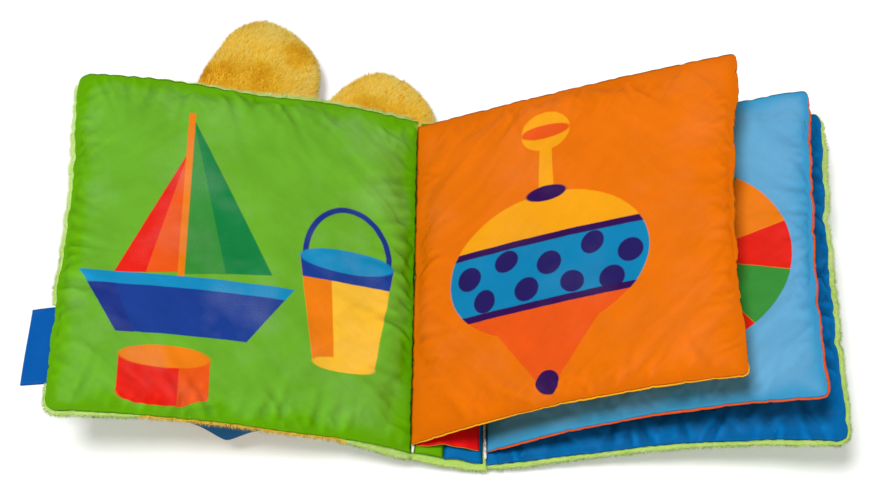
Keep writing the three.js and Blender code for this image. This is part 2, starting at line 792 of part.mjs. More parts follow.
export default book;
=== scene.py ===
"""A padded cloth book for a baby, lying open, with a stuffed head and its rattle under the front cover."""
import math

import bmesh
import bpy
import numpy as np
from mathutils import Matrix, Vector


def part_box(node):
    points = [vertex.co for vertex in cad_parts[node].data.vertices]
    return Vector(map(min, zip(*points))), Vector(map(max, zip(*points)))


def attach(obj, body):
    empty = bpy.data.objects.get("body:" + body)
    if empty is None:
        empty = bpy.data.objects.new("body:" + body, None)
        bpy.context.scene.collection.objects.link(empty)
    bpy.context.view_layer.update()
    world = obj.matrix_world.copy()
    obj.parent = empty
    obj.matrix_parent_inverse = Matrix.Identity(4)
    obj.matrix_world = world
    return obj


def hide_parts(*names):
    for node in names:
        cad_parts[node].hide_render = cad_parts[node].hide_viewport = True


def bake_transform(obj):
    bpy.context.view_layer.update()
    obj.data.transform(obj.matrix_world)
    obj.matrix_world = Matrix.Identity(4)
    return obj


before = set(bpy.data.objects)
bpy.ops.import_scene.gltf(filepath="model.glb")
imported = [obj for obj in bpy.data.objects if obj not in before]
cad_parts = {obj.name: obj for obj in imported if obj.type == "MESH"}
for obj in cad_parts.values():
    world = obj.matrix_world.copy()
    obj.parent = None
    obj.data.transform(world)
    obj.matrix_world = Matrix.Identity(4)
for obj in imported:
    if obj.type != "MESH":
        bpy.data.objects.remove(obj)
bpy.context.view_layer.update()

# Sizes in millimetres, as in the part's source
MM = 0.001
PAGE = 160.0
COVER_WIDTH, COVER_HEIGHT, COVER_CORNER = 148.0, 160.0, 6.0
LEAF_WIDTH, LEAF_HEIGHT, LEAF_CORNER = 143.0, 151.0, 4.0
SPINE_RUN, SPINE_TILT, SPINE_SEAM = 29.0, -10.933, 12.5
FRONT_Z, BACK_Z, LEAF_1_Z, LEAF_2_Z = 9.8, 4.3, 14.38, 7.32
STITCH_BOXES = [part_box(name) for name in ("left_stitch", "right_stitch")]
LEFT_X, RIGHT_X = [(low[0] + high[0]) / 2 / MM for low, high in STITCH_BOXES]
MID_Y = (STITCH_BOXES[0][0][1] + STITCH_BOXES[0][1][1]) / 2 / MM


def colour(red, green, blue):
    """Linear colour, with alpha, of an sRGB colour from 0 to 255."""
    def linear(c):
        c /= 255
        return c / 12.92 if c <= 0.04045 else ((c + 0.055) / 1.055) ** 2.4
    return (linear(red), linear(green), linear(blue), 1.0)


def waves(points, spans, seed, count=9):
    """Smooth irregular field of about -1 to 1 over points, from waves of lengths within spans."""
    rng = np.random.default_rng(seed)
    points = np.asarray(points, float)
    total = np.zeros(points.shape[:-1])
    for _ in range(count):
        direction = rng.normal(size=points.shape[-1])
        direction /= np.linalg.norm(direction)
        span = rng.uniform(*spans)
        total += np.sin(points @ direction * (2 * math.pi / span) + rng.uniform(0, 2 * math.pi))
    return total / math.sqrt(count)


def smooth(values, reach, closed=False):
    """Values along an open or closed line, averaged with a bell curve of that reach in steps."""
    steps = np.arange(-3 * reach, 3 * reach + 1)
    bell = np.exp(-0.5 * (steps / reach) ** 2)
    ends = dict(mode="wrap") if closed else dict(mode="reflect", reflect_type="odd")
    return np.convolve(np.pad(values, 3 * reach, **ends), bell / bell.sum(), mode="valid")


def ramp(value, start, over):
    """Rises from 0 at the start to 1 further on."""
    return np.clip((value - start) / over, 0, 1)


def unit(vectors):
    """Vectors brought to a length of 1."""
    return vectors / (np.linalg.norm(vectors, axis=-1, keepdims=True) + 1e-9)


def quads(grid):
    """Faces of a grid of point numbers."""
    return np.stack([grid[:-1, :-1], grid[1:, :-1], grid[1:, 1:], grid[:-1, 1:]], -1).reshape(-1, 4)


def band(ring, after):
    """Faces between two closed rings of point numbers."""
    return np.stack([ring, np.roll(ring, -1), np.roll(after, -1), after], -1)


class Panel:
    """A panel that leaves its stitch line to the left or right and bends upwards by its three tilts."""
    STEPS = 64

    def __init__(self, x, z, side, tilts, width, height, corner=0.0, near=((0, 0), (1, 0)),
                 far=((0, 0), (1, 0)), end=((-1, 0), (1, 0)), twist=0.0):
        self.side, self.width, self.height, self.corner, self.twist = side, width, height, corner, twist
        self.near, self.far, self.end = near, far, end
        self.tilts = np.radians(tilts)
        self.step = width / self.STEPS
        angles = self.tilt((np.arange(self.STEPS) + 0.5) * self.step)
        self.path_x = x + side * np.concatenate([[0], np.cumsum(np.cos(angles) * self.step)])
        self.path_z = z + np.concatenate([[0], np.cumsum(np.sin(angles) * self.step)])

    def tilt(self, u):
        t = np.clip(u / self.width, 0, 1)
        root, middle, tip = self.tilts
        return root * (1 - t) ** 2 + 2 * middle * t * (1 - t) + tip * t ** 2

    def place(self, flat):
        """Points in space of flat points: distance from the stitch, along it, and height over the padding."""
        u, v, w = np.moveaxis(np.asarray(flat, float), -1, 0)
        index = np.clip(np.floor(u / self.step).astype(int), 0, self.STEPS - 1)
        angle = self.tilt(u)
        run = u - index * self.step
        x = self.path_x[index] + self.side * (np.cos(angle) * run - np.sin(angle) * w)
        z = self.path_z[index] + np.sin(angle) * run + np.cos(angle) * w
        z = z - self.twist * (2 * v / self.height) * (u / self.width) ** 2
        return np.stack([x, v + MID_Y, z], -1)

    def half(self, u):
        into = np.clip(u - (self.width - self.corner), 0, None)
        return self.height / 2 - (self.corner - np.sqrt(np.clip(self.corner ** 2 - into ** 2, 0, None)))


def along(knots, at):
    """Smooth line through an edge's knots of place and outward offset."""
    where, offsets = np.array(knots, float).T
    steps = np.linspace(where[0], where[-1], 97)
    return np.interp(at, steps, smooth(np.interp(steps, where, offsets), 5))


# How far each edge of a panel is drawn in or bulges out, by the share of the way along it
COVER = dict(width=COVER_WIDTH, height=COVER_HEIGHT, corner=COVER_CORNER)
LEAF = dict(width=LEAF_WIDTH, height=LEAF_HEIGHT, corner=LEAF_CORNER)
LEAF_SIDE = ((0, 0), (0.2, -1.6), (0.5, -2.5), (0.8, -1.6), (1, 0))
BACK_NEAR = ((0, 0), (0.2, -2.5), (0.5, -4.0), (0.8, -1.2), (1, 1.8))
BACK_FAR = ((0, 0), (0.2, -2.5), (0.5, -4.0), (0.8, -3.6), (1, -2.4))
BACK_END = ((-1, -3.0), (-0.5, -4.6), (0, -5.2), (0.5, -4.8), (1, -3.0))
LEAF_2_FAR = ((0, 0), (0.25, -2.6), (0.5, -4.6), (0.7, -5.4), (0.8, -4.8), (0.89, -2.0),
              (0.945, -0.1), (1, 0.2))
LEAF_2_END = ((-1, -2.8), (-0.8, -3.6), (-0.4, -4.2), (0, -3.6), (0.5, -2.0), (1, 0))
FRONT_NEAR = ((0, -2.2), (0.08, -3.2), (0.2, -2.9), (0.3, -2.2), (0.5, -2.4), (0.67, -2.6),
              (0.8, -3.1), (1, -3.0))
FRONT_FAR = ((0, 0.6), (0.15, 0.5), (0.25, 0.2), (0.38, -1.0), (0.5, -2.4), (0.6, -1.2), (0.7, 0.6),
             (0.85, 1.0), (0.95, 1.5), (1, 1.2))
FRONT_END = ((-1, 1.2), (-0.88, 1.5), (-0.6, 1.4), (-0.35, 0.8), (-0.1, -0.4), (0.15, -0.8), (0.45, -1.3),
             (0.65, 0.1), (0.95, 1.0), (1, 0.8))
LEAF_1_END = ((-1, -0.6), (-0.8, -1.3), (-0.5, -2.3), (-0.25, -3.0), (0.2, -2.2), (0.5, -0.8), (0.7, 1.2),
              (0.88, 1.9), (1, 2.0))
front = Panel(LEFT_X, FRONT_Z, -1, (25, 13, 2), near=FRONT_NEAR, far=FRONT_FAR, end=FRONT_END, **COVER)
back = Panel(RIGHT_X, BACK_Z, 1, (3, 24, 3), near=BACK_NEAR, far=BACK_FAR, end=BACK_END, twist=5.0, **COVER)
spine = Panel(LEFT_X, FRONT_Z, 1, (SPINE_TILT,) * 3, SPINE_RUN, COVER_HEIGHT)
leaf_1 = Panel(LEFT_X, LEAF_1_Z, 1, (32, 27, 18), near=LEAF_SIDE, far=LEAF_SIDE, end=LEAF_1_END,
               twist=3.0, **LEAF)
leaf_2 = Panel(RIGHT_X, LEAF_2_Z, 1, (30, 19, 9), near=LEAF_SIDE, far=LEAF_2_FAR, end=LEAF_2_END,
               twist=8.0, **LEAF)


# Cloth pads: two sheets sewn round their edge and blown up by a cloth simulation, in millimetres
CELL, CORNER_STEPS = 1.95, 8
SIM_SCALE, SIM_FRAMES = 0.02, 18
SEAM_LIFT, SEAM_SMOOTH, SEAM_TAPER, ROOT_TAPER = 0.45, 12, 5.0, 3.0
SCALLOP, SCALLOP_REACH = 0.4, 2.0
KEEP_IN, KEEP_IN_REACH = 0.55, 20.0
CALM, CALM_FROM, CALM_OVER, CALM_REACH = 0.75, 5.0, 14.0, 4
INNER_RINGS = (0.96, 0.9, 0.8, 0.65, 0.45, 0.2)

# Depth, breadth and spacing of the folds at the seams of each cover and leaf
FRONT_FOLDS = (1.4, 1.4, (5.0, 9.5))
BACK_FOLDS = (3.0, 1.6, (8.0, 14.0))
LEAF_FOLDS = (0.8, 1.1, (6.0, 13.0))

# What counts as a full fold in the painted fold shade, and the width of the painted shade along a seam
FOLD_DEPTH, FOLD_REACH = 0.5, 3
SEAM_SHADE_BAND = 5.0


def pattern(panel, start):
    """Flat grid of a pad's cut, finer round its corners."""
    straight = panel.width - panel.corner
    count = int(round((straight - start) / CELL))
    turns = np.arange(1, CORNER_STEPS + 1) / CORNER_STEPS
    bend = straight + panel.corner * np.sin(math.pi / 2 * turns)
    u = np.concatenate([np.linspace(start, straight, count + 1), bend])
    b = np.linspace(-1, 1, int(round(panel.height / CELL)) + 1)
    return np.repeat(u[:, None], len(b), 1), panel.half(u)[:, None] * b[None, :], b


def rim_of(shape):
    """Rows and columns of a grid's edge, once round."""
    n, m = shape
    rows = [(i, 0) for i in range(n)] + [(n - 1, j) for j in range(1, m)]
    rows += [(i, m - 1) for i in range(n - 2, -1, -1)] + [(0, j) for j in range(m - 2, 0, -1)]
    return tuple(np.array(rows).T)


def inside_of(shape):
    """Which points of a grid aren't on its edge."""
    return np.pad(np.ones((shape[0] - 2, shape[1] - 2), bool), 1)


def inflate(U, V, thickness, gather, seed):
    """Both sheets of a pad after they are blown up to a mean thickness, with an unevenly gathered seam."""
    n, m = U.shape
    inside = inside_of((n, m))
    upper = np.arange(n * m).reshape(n, m)
    lower = upper.copy()
    lower[inside] = n * m + np.arange(inside.sum())
    apart, jitter = 0.3, 0.04
    points = np.zeros((n * m + inside.sum(), 3))
    points[upper.ravel()] = np.stack([U, V, np.where(inside, apart, 0)], -1).reshape(-1, 3)
    points[lower[inside]] = np.stack([U, V, np.full_like(U, -apart)], -1)[inside]
    points[:, 2] += np.random.default_rng(seed).normal(0, jitter, len(points))
    faces = np.concatenate([quads(upper), quads(lower)[:, ::-1]])
    mesh = bpy.data.meshes.new("pad_cut")
    mesh.from_pydata((points * SIM_SCALE).tolist(), [], faces.tolist())
    pad = bpy.data.objects.new("pad_cut", mesh)
    scene = bpy.context.scene
    scene.collection.objects.link(pad)
    seam = pad.vertex_groups.new(name="seam")
    edge = upper[rim_of((n, m))]
    weights = np.clip(0.45 + 0.4 * waves(points[edge, :2], (8, 22), seed + 1), 0, 1)
    for vertex, weight in zip(edge.tolist(), weights.tolist()):
        seam.add([vertex], weight, "REPLACE")
    cloth = pad.modifiers.new("Cloth", "CLOTH")
    settings = cloth.settings
    settings.quality = 5
    settings.mass = 0.15
    settings.tension_stiffness = settings.compression_stiffness = 40
    settings.shear_stiffness = 15
    settings.bending_stiffness = 0.12
    settings.tension_damping = settings.compression_damping = settings.shear_damping = 10
    settings.air_damping = 5
    settings.use_pressure = True
    settings.uniform_pressure_force = 0
    settings.use_pressure_volume = True
    settings.target_volume = np.ptp(U) * np.ptp(V) * thickness * SIM_SCALE ** 3
    settings.pressure_factor = 1
    settings.vertex_group_shrink = "seam"
    settings.shrink_min = 0
    settings.shrink_max = gather
    settings.effector_weights.gravity = 0
    cloth.collision_settings.use_collision = False
    cloth.collision_settings.use_self_collision = False
    cloth.point_cache.frame_start = 1
    cloth.point_cache.frame_end = SIM_FRAMES
    for number in range(1, SIM_FRAMES + 1):
        scene.frame_set(number)
    result = pad.evaluated_get(bpy.context.evaluated_depsgraph_get()).to_mesh()
    found = np.empty(len(points) * 3, np.float32)
    result.vertices.foreach_get("co", found)
    found = found.reshape(-1, 3).astype(float) / SIM_SCALE
    bpy.data.objects.remove(pad)
    bpy.data.meshes.remove(mesh)
    scene.frame_set(1)
    return found[upper], found[lower]


def finer(grid, axes=(0, 1)):
    """A grid with a new line of points set smoothly between each two."""
    for axis in axes:
        lines = np.moveaxis(grid, axis, 0)
        ends = np.concatenate([2 * lines[:1] - lines[1:2], lines, 2 * lines[-1:] - lines[-2:-1]])
        both = np.empty((2 * len(lines) - 1,) + lines.shape[1:])
        both[::2] = lines
        both[1::2] = (9 * (ends[1:-2] + ends[2:-1]) - ends[:-3] - ends[3:]) / 16
        grid = np.moveaxis(both, 0, axis)
    return grid


def creases(line, off, spacing, broad, seed):
    """Short folds that run in from a seam at uneven places along it, with a low bulge on each side."""
    rng = np.random.default_rng(seed)
    total = np.zeros(line.shape)
    margin = 2
    place = line.min() + rng.uniform(margin, spacing[1])
    while place < line.max() - margin:
        depth, wide, reach, skew = rng.uniform((0.35, 0.85, 2.5, -0.6), (1.0, 1.45, 7.5, 0.6))
        away = (line - place - skew * off) / (wide * broad)
        fold = np.exp(-away ** 2) - 0.35 * np.exp(-(np.abs(away) - 2) ** 2)
        total += depth * fold * np.exp(-off / (reach * math.sqrt(broad)))
        place += rng.uniform(*spacing)
    return total


def sew(panel, start, thickness, gather, seed, lofts, pucker, dip, broad, spacing):
    """Upper and lower sheet of a pad, on the panel's outline with the seam's small waves kept."""
    U, V, b = pattern(panel, start)
    sheets = inflate(U, V, thickness, gather, seed)
    sheets, U, V, b = [finer(sheet) for sheet in sheets], finer(U), finer(V), finer(b, (0,))[None, :]
    sides = [smooth(sheets[0][:, k, 1] - V[:, k], SEAM_SMOOTH)[:, None] for k in (0, -1)]
    ends = [smooth(sheets[0][k, :, 0] - U[k, :], SEAM_SMOOTH)[None, :] for k in (0, -1)]
    gap_u, gap_v, gap_root = panel.width - U, V[:, -1:] - np.abs(V), U - start
    share_u, share_v, s = gap_root / (panel.width - start), (b + 1) / 2, U / panel.width
    seams = ((b < 0, gap_v, U, 1), (b > 0, gap_v, U, -1),
             (U < panel.width / 2, gap_root, V, 1), (U > panel.width / 2, gap_u, V, -1))
    made = []
    for side, sheet, loft in zip((1, -1), sheets, lofts):
        u = sheet[..., 0] - ends[0] * (1 - share_u) - ends[1] * share_u + along(panel.end, b) * s ** 2
        v = sheet[..., 1] - sides[0] * (1 - share_v) - sides[1] * share_v
        v = v + np.clip(b, 0, 1) * along(panel.far, s) + np.clip(b, -1, 0) * along(panel.near, s)
        w = sheet[..., 2] * loft / np.abs(sheet[..., 2]).max()
        calm = np.apply_along_axis(smooth, 1, np.apply_along_axis(smooth, 0, w, CALM_REACH), CALM_REACH)
        w = w + (calm - w) * CALM * ramp(np.minimum(gap_u, gap_v), CALM_FROM, CALM_OVER)
        for gap, taper in ((gap_u, SEAM_TAPER), (gap_v, SEAM_TAPER), (gap_root, ROOT_TAPER)):
            w = w * (1 - np.exp(-(gap + 0.5) / taper))
        deep = 0
        for number, (edge, off, line, pull) in enumerate(seams):
            fold = np.where(edge, creases(line, off, spacing, broad, 10 * seed + number), 0)
            deep = deep + fold
            notch = pull * SCALLOP * np.clip(fold, 0, 1) * np.exp(-off / SCALLOP_REACH)
            u, v = (u, v + notch) if line is U else (u + notch, v)
        w = w * (1 - pucker * np.clip(deep, -1, 1.2))
        w = side * np.maximum(side * w - dip * np.clip(deep, -0.6, 1.2), 0)
        u = np.where(gap_u < KEEP_IN_REACH, np.minimum(u, u[-1:] - KEEP_IN * gap_u), u)
        for way, edge in ((1, v[:, -1:]), (-1, v[:, :1])):
            held = (way * b > 0) & (gap_v < KEEP_IN_REACH)
            v = np.where(held, way * np.minimum(way * v, way * edge - KEEP_IN * gap_v), v)
        made.append(np.stack([u, v, w], -1))
    seam = 0.5 * made[0][..., 2]
    for side, sheet in zip((1, -1), made):
        lifted = side * np.maximum(side * sheet[..., 2], SEAM_LIFT)
        sheet[..., 2] = np.where(inside_of(U.shape), lifted, seam)
    return made


def link(name, points, faces, uv=None):
    """New mesh object of points in millimetres, with its faces turned outwards."""
    mesh = bpy.data.meshes.new(name)
    mesh.from_pydata((np.asarray(points) * MM).tolist(), [], faces)
    if uv is not None:
        layer = mesh.uv_layers.new(name="UVMap")
        corner = np.empty(len(mesh.loops), int)
        mesh.loops.foreach_get("vertex_index", corner)
        layer.data.foreach_set("uv", np.asarray(uv, np.float32)[corner].ravel())
    form = bmesh.new()
    form.from_mesh(mesh)
    bmesh.ops.recalc_face_normals(form, faces=form.faces)
    form.to_mesh(mesh)
    form.free()
    mesh.polygons.foreach_set("use_smooth", [True] * len(mesh.polygons))
    piece = bpy.data.objects.new(name, mesh)
    bpy.context.scene.collection.objects.link(piece)
    return piece


def fold_depth(sheet):
    """How far each point of a sheet stands out of its small folds or lies in them, from 1 to -1."""
    n, m, _ = sheet.shape
    height = sheet[..., 2] * np.sign(sheet[..., 2].mean())
    run, cross = (height - np.apply_along_axis(smooth, axis, height, FOLD_REACH) for axis in (0, 1))
    to_end = np.minimum(np.arange(n), np.arange(n)[::-1])[:, None]
    to_side = np.minimum(np.arange(m), np.arange(m)[::-1])[None, :]
    share = np.clip((to_end - to_side) / 8 + 0.5, 0, 1)
    return np.clip((run * share + cross * (1 - share)) / FOLD_DEPTH, -1, 1)


def seam_shade_share(sheet):
    """How near each point of a sheet is to its seam, from 1 on it to 0 a few band widths away."""
    u, v = sheet[..., 0], sheet[..., 1]
    gap = np.minimum(np.minimum(u - u[:1], u[-1:] - u), np.minimum(v - v[:, :1], v[:, -1:] - v))
    uneven = 1 + 0.3 * waves(sheet[..., :2], (14, 50), 17)
    return np.exp(-(np.maximum(gap, 0) / (SEAM_SHADE_BAND * np.clip(uneven, 0.5, 1.5))) ** 2)


def half_pad(name, panel, sheet, rings, root_share=1.0):
    """Closed half of a pad: its outer sheet, rings round its seam, and an inner face across it."""
    n, m, _ = sheet.shape
    grid = np.arange(n * m).reshape(n, m)
    edge = rim_of((n, m))
    ring = sheet[edge]
    flow = np.roll(ring, -1, 0) - np.roll(ring, 1, 0)
    out = unit(np.stack([flow[:, 1], -flow[:, 0]], -1))
    out = np.stack([smooth(out[:, k], 4, closed=True) for k in (0, 1)], -1)
    fade = np.where(edge[0] == 0, root_share, 1.0)
    lines = [np.concatenate([ring[:, :2] + out * (outset * fade)[:, None], ring[:, 2:] + height], 1)
             for outset, height in rings]
    middle = np.array([*sheet[n // 2, m // 2, :2], lines[-1][:, 2].mean()])
    inner = [middle + (lines[-1] - middle) * share for share in INNER_RINGS]
    flat = np.concatenate([sheet.reshape(-1, 3), *lines[1:], *inner, middle[None]])
    flat[grid[edge]] = lines[0]
    faces = quads(grid).tolist()
    last = grid[edge]
    for number in range(len(lines) - 1 + len(inner)):
        fresh = n * m + number * len(ring) + np.arange(len(ring))
        faces += band(last, fresh).tolist()
        last = fresh
    faces += np.stack([last, np.roll(last, -1), np.full_like(last, last[-1] + 1)], -1).tolist()
    across = panel.width - flat[:, 0] if panel.side < 0 else flat[:, 0]
    uv = np.stack([across, flat[:, 1] + panel.height / 2], -1) / PAGE
    piece = link(name, panel.place(flat), faces, uv)
    # Values for the cloth's painted shade: in its small folds, and along its seams
    for label, values in (("fold", fold_depth(sheet)), ("seam", seam_shade_share(sheet))):
        shade = np.zeros(len(flat), np.float32)
        shade[:n * m] = values.ravel()
        piece.data.attributes.new(label, "FLOAT", "POINT").data.foreach_set("value", shade)
    piece["grid"] = (n - 1) * (m - 1)
    piece["outer"] = piece["grid"] + (len(lines) - 1) * len(ring)
    return piece


# Node materials
class Graph:
    """A material's nodes round its shader."""

    def __init__(self, name):
        self.material = bpy.data.materials.new(name)
        self.material.use_nodes = True
        self.tree = self.material.node_tree
        self.shader = self.tree.nodes["Principled BSDF"]

    def node(self, kind, inputs=(), out=0, **settings):
        """Adds a node, sets or links its inputs, and gives one of its outputs."""
        made = self.tree.nodes.new("ShaderNode" + kind)
        for key, value in settings.items():
            setattr(made, key, value)
        for key, value in dict(inputs).items():
            self.feed(made.inputs[key], value)
        return made.outputs[out]

    def feed(self, socket, value):
        if isinstance(value, bpy.types.NodeSocket):
            self.tree.links.new(value, socket)
        else:
            socket.default_value = value

    def math(self, operation, first, second=0.0):
        return self.node("Math", {0: first, 1: second}, operation=operation)

    def span(self, value, low, high, to_low=0.0, to_high=1.0):
        return self.node("MapRange", {0: value, 1: low, 2: high, 3: to_low, 4: to_high})

    def mix(self, share, first, second):
        return self.node("Mix", {0: share, 6: first, 7: second}, out=2, data_type="RGBA")

    def page(self):
        """Place on the cloth in millimetres."""
        where = self.node("UVMap", uv_map="UVMap")
        return self.node("VectorMath", {0: where, 3: PAGE}, operation="SCALE")

    def noise(self, place, scale, detail=2.0, roughness=0.5):
        return self.node("TexNoise", {"Vector": place, "Scale": scale, "Detail": detail,
                                      "Roughness": roughness})

    def set(self, **values):
        for key, value in values.items():
            self.feed(self.shader.inputs[key.replace("_", " ")], value)
        return self.material


PRINT_EDGE = 0.25


class Print:
    """Flat shapes printed one over another on a cloth, placed in millimetres."""

    def __init__(self, graph, ground):
        self.graph, self.ink = graph, ground
        self.place = graph.page()

    def put(self, mask, ink):
        self.ink = self.graph.mix(mask, self.ink, ink)

    def ellipse(self, centre, radii, turn=0.0):
        g = self.graph
        local = g.node("Mapping", {0: self.place, 1: (*centre, 0), 2: (0, 0, math.radians(turn)),
                                   3: (*radii, 1)}, vector_type="TEXTURE")
        reach = g.node("VectorMath", {0: local}, out=1, operation="LENGTH")
        soft = PRINT_EDGE / min(radii)
        return g.span(reach, 1 + soft, 1 - soft)

    def polygon(self, *corners):
        """Convex shape with its corners given anticlockwise."""
        g = self.graph
        depth = None
        for (x0, y0), (x1, y1) in zip(corners, corners[1:] + corners[:1]):
            length = math.hypot(x1 - x0, y1 - y0)
            normal = ((y1 - y0) / length, (x0 - x1) / length, 0)
            side = g.node("VectorMath", {0: self.place, 1: normal}, out=1, operation="DOT_PRODUCT")
            side = g.math("SUBTRACT", side, x0 * normal[0] + y0 * normal[1])
            depth = side if depth is None else g.math("MAXIMUM", depth, side)
        return g.span(depth, PRINT_EDGE, -PRINT_EDGE)

    def cut(self, ink, *corners):
        self.put(self.polygon(*corners), ink)

    def dot(self, ink, centre, radii):
        self.put(self.ellipse(centre, radii), ink)

    def both(self, *masks):
        total = masks[0]
        for mask in masks[1:]:
            total = self.graph.math("MULTIPLY", total, mask)
        return total

    def without(self, mask, hole):
        return self.graph.math("MULTIPLY", mask, self.graph.math("SUBTRACT", 1.0, hole))


# How much darker and more saturated the painted seam shade makes the cloth
SEAM_SHADE, SEAM_SHADE_SATURATION = 0.13, 1.15


def cloth(name, ground, draw=None, roughness=0.55, weave=0.16, mottle=(0.96, 1.05), sheen_paint=0.014,
          crease_shade=0.12):
    """Printed or plain woven cloth with its threads and slight mottling, painted shade in its small folds and
    along its seams, and painted sheen in pale patches.
    """
    g = Graph(name)
    place = g.page()
    ink = ground
    if draw:
        picture = Print(g, ground)
        draw(picture)
        ink = picture.ink
    broad = g.noise(place, 0.045, 4.0, 0.55)
    fine = g.noise(place, 1.6, 2.0)
    tone = g.math("ADD", g.span(broad, 0.3, 0.7, *mottle), g.span(fine, 0.25, 0.75, -0.035, 0.035))
    # Painted shade: the cloth is darker in its small folds and lighter on their ridges
    fold = g.node("Attribute", out=2, attribute_name="fold")
    tone = g.math("ADD", tone, g.span(fold, -1.0, 1.0, -crease_shade, crease_shade))
    # Painted shade along the seams, where the pad rolls away from the light: darker and more saturated there
    seam = g.node("Attribute", out=2, attribute_name="seam")
    tone = g.math("SUBTRACT", tone, g.span(seam, 0.0, 1.0, 0.0, SEAM_SHADE))
    seam_shade_saturation = g.span(seam, 0.0, 1.0, 1.0, SEAM_SHADE_SATURATION)
    ink = g.node("HueSaturation", {"Saturation": seam_shade_saturation, "Value": tone, "Color": ink})
    # Painted sheen: pale patches mixed towards white, kept off the seams
    painted_sheen = g.span(g.noise(place, 0.028, 3.0, 0.6), 0.48, 0.72, 0.0, sheen_paint)
    painted_sheen = g.math("MULTIPLY", painted_sheen, g.span(fine, 0.3, 0.7, 0.6, 1.4))
    painted_sheen = g.math("MULTIPLY", painted_sheen, g.math("SUBTRACT", 1.0, seam))
    ink = g.mix(painted_sheen, ink, (1, 1, 1, 1))
    threads = [g.node("TexWave", {"Vector": place, "Scale": 0.82, "Distortion": 0.4, "Detail": 1.0},
                      out=1, bands_direction=axis) for axis in "XY"]
    height = g.math("MAXIMUM", *threads)
    normal = g.node("Bump", {"Strength": weave, "Distance": 0.0001, "Height": height})
    rough = g.span(broad, 0.3, 0.7, roughness - 0.05, roughness + 0.06)
    return g.set(Base_Color=ink, Roughness=rough, Normal=normal, Specular_IOR_Level=0.06)


def fleece(name, dark, light):
    """Plush backing under its pile."""
    g = Graph(name)
    place = g.node("TexCoord", out=3)
    broad = g.noise(place, 60.0, 3.0)
    fine = g.noise(place, 900.0, 3.0, 0.6)
    ink = g.mix(g.span(g.math("ADD", broad, g.math("MULTIPLY", fine, 0.6)), 0.55, 1.05), dark, light)
    normal = g.node("Bump", {"Strength": 0.6, "Distance": 0.0006, "Height": fine})
    return g.set(Base_Color=ink, Roughness=0.95, Normal=normal, Specular_IOR_Level=0.05,
                 Sheen_Weight=0.08, Sheen_Roughness=0.5)


def strands(name, dark, middle, light):
    """Pile whose shade is kept in each strand."""
    g = Graph(name)
    shade = g.node("Attribute", attribute_name="shade", out=2)
    ink = g.mix(g.span(shade, 0.0, 0.5), dark, middle)
    ink = g.mix(g.span(shade, 0.5, 1.0), ink, light)
    return g.set(Base_Color=ink, Roughness=0.85, Specular_IOR_Level=0.04,
                 Sheen_Weight=0.05, Sheen_Roughness=0.5)


def thread_material(name, ink):
    """Twisted sewing thread."""
    g = Graph(name)
    place = g.node("TexCoord", out=3)
    fine = g.noise(place, 2500.0, 2.0)
    tone = g.span(fine, 0.3, 0.7, 0.9, 1.06)
    normal = g.node("Bump", {"Strength": 0.4, "Distance": 0.0001, "Height": fine})
    ink = g.node("HueSaturation", {"Value": tone, "Color": ink})
    return g.set(Base_Color=ink, Roughness=0.6, Normal=normal)


def moulded(name, ink, roughness):
    """Moulded plastic with a faint grain."""
    g = Graph(name)
    place = g.node("TexCoord", out=3)
    fine = g.noise(place, 1400.0, 3.0)
    tone = g.span(g.noise(place, 90.0, 2.0), 0.3, 0.7, 0.95, 1.04)
    normal = g.node("Bump", {"Strength": 0.12, "Distance": 0.0001, "Height": fine})
    rough = g.span(fine, 0.3, 0.7, roughness - 0.06, roughness + 0.08)
    ink = g.node("HueSaturation", {"Value": tone, "Color": ink})
    return g.set(Base_Color=ink, Roughness=rough, Normal=normal)


GREEN, GREEN_DARK, GREEN_MID = colour(107, 174, 42), colour(19, 127, 63), colour(56, 143, 55)
RED, ORANGE_RED, ORANGE = colour(228, 34, 22), colour(234, 87, 21), colour(234, 114, 6)
NAVY, NAVY_DARK, BLUE = colour(27, 61, 145), colour(31, 52, 133), colour(21, 140, 191)
YELLOW, YELLOW_ORANGE, AMBER = colour(247, 190, 50), colour(236, 126, 18), colour(246, 163, 20)
SKY, PURPLE, DOT = colour(98, 167, 210), colour(52, 14, 82), colour(38, 27, 97)
RING_BLUE = colour(14, 129, 179)


def toys(p):
    """A sailing boat, a drum and a bucket on the front cover's lining."""
    p.cut(RED, (21, 64), (47.5, 67), (47.5, 124))
    p.cut(ORANGE_RED, (34, 65.5), (47.5, 67), (47.5, 124))
    p.cut(GREEN_DARK, (48.5, 66), (85, 70), (48.5, 141))
    p.cut(GREEN_MID, (48.5, 66), (66, 68), (48.5, 141))
    p.cut(YELLOW_ORANGE, (46.6, 58), (49.4, 58), (49.4, 143), (46.6, 143))
    p.cut(NAVY, (24, 38), (76, 38), (91, 60), (11, 60))
    p.cut(NAVY_DARK, (11, 60), (24, 38), (31, 38), (22, 60))
    p.cut(BLUE, (11.3, 59.5), (90.7, 59.5), (94.5, 65), (7.5, 65))
    p.cut(RED, (26, 12), (62, 12), (62, 28), (26, 28))
    p.dot(RED, (44, 12), (18, 5))
    p.cut(ORANGE_RED, (50, 7), (62, 10), (62, 28), (50, 28))
    p.dot(YELLOW_ORANGE, (44, 28), (18, 5))
    p.put(p.without(p.ellipse((116, 84), (19, 24)), p.ellipse((116, 84), (16.6, 21.4))), NAVY_DARK)
    p.cut(YELLOW, (103, 34), (129, 34), (136, 82), (96, 82))
    p.cut(YELLOW_ORANGE, (103, 34), (112, 34), (109, 82), (96, 82))
    p.dot(YELLOW, (116, 34), (13, 3.4))
    p.cut(NAVY, (97.4, 72), (134.6, 72), (136, 82), (96, 82))
    p.dot(BLUE, (116, 82), (20, 5.4))


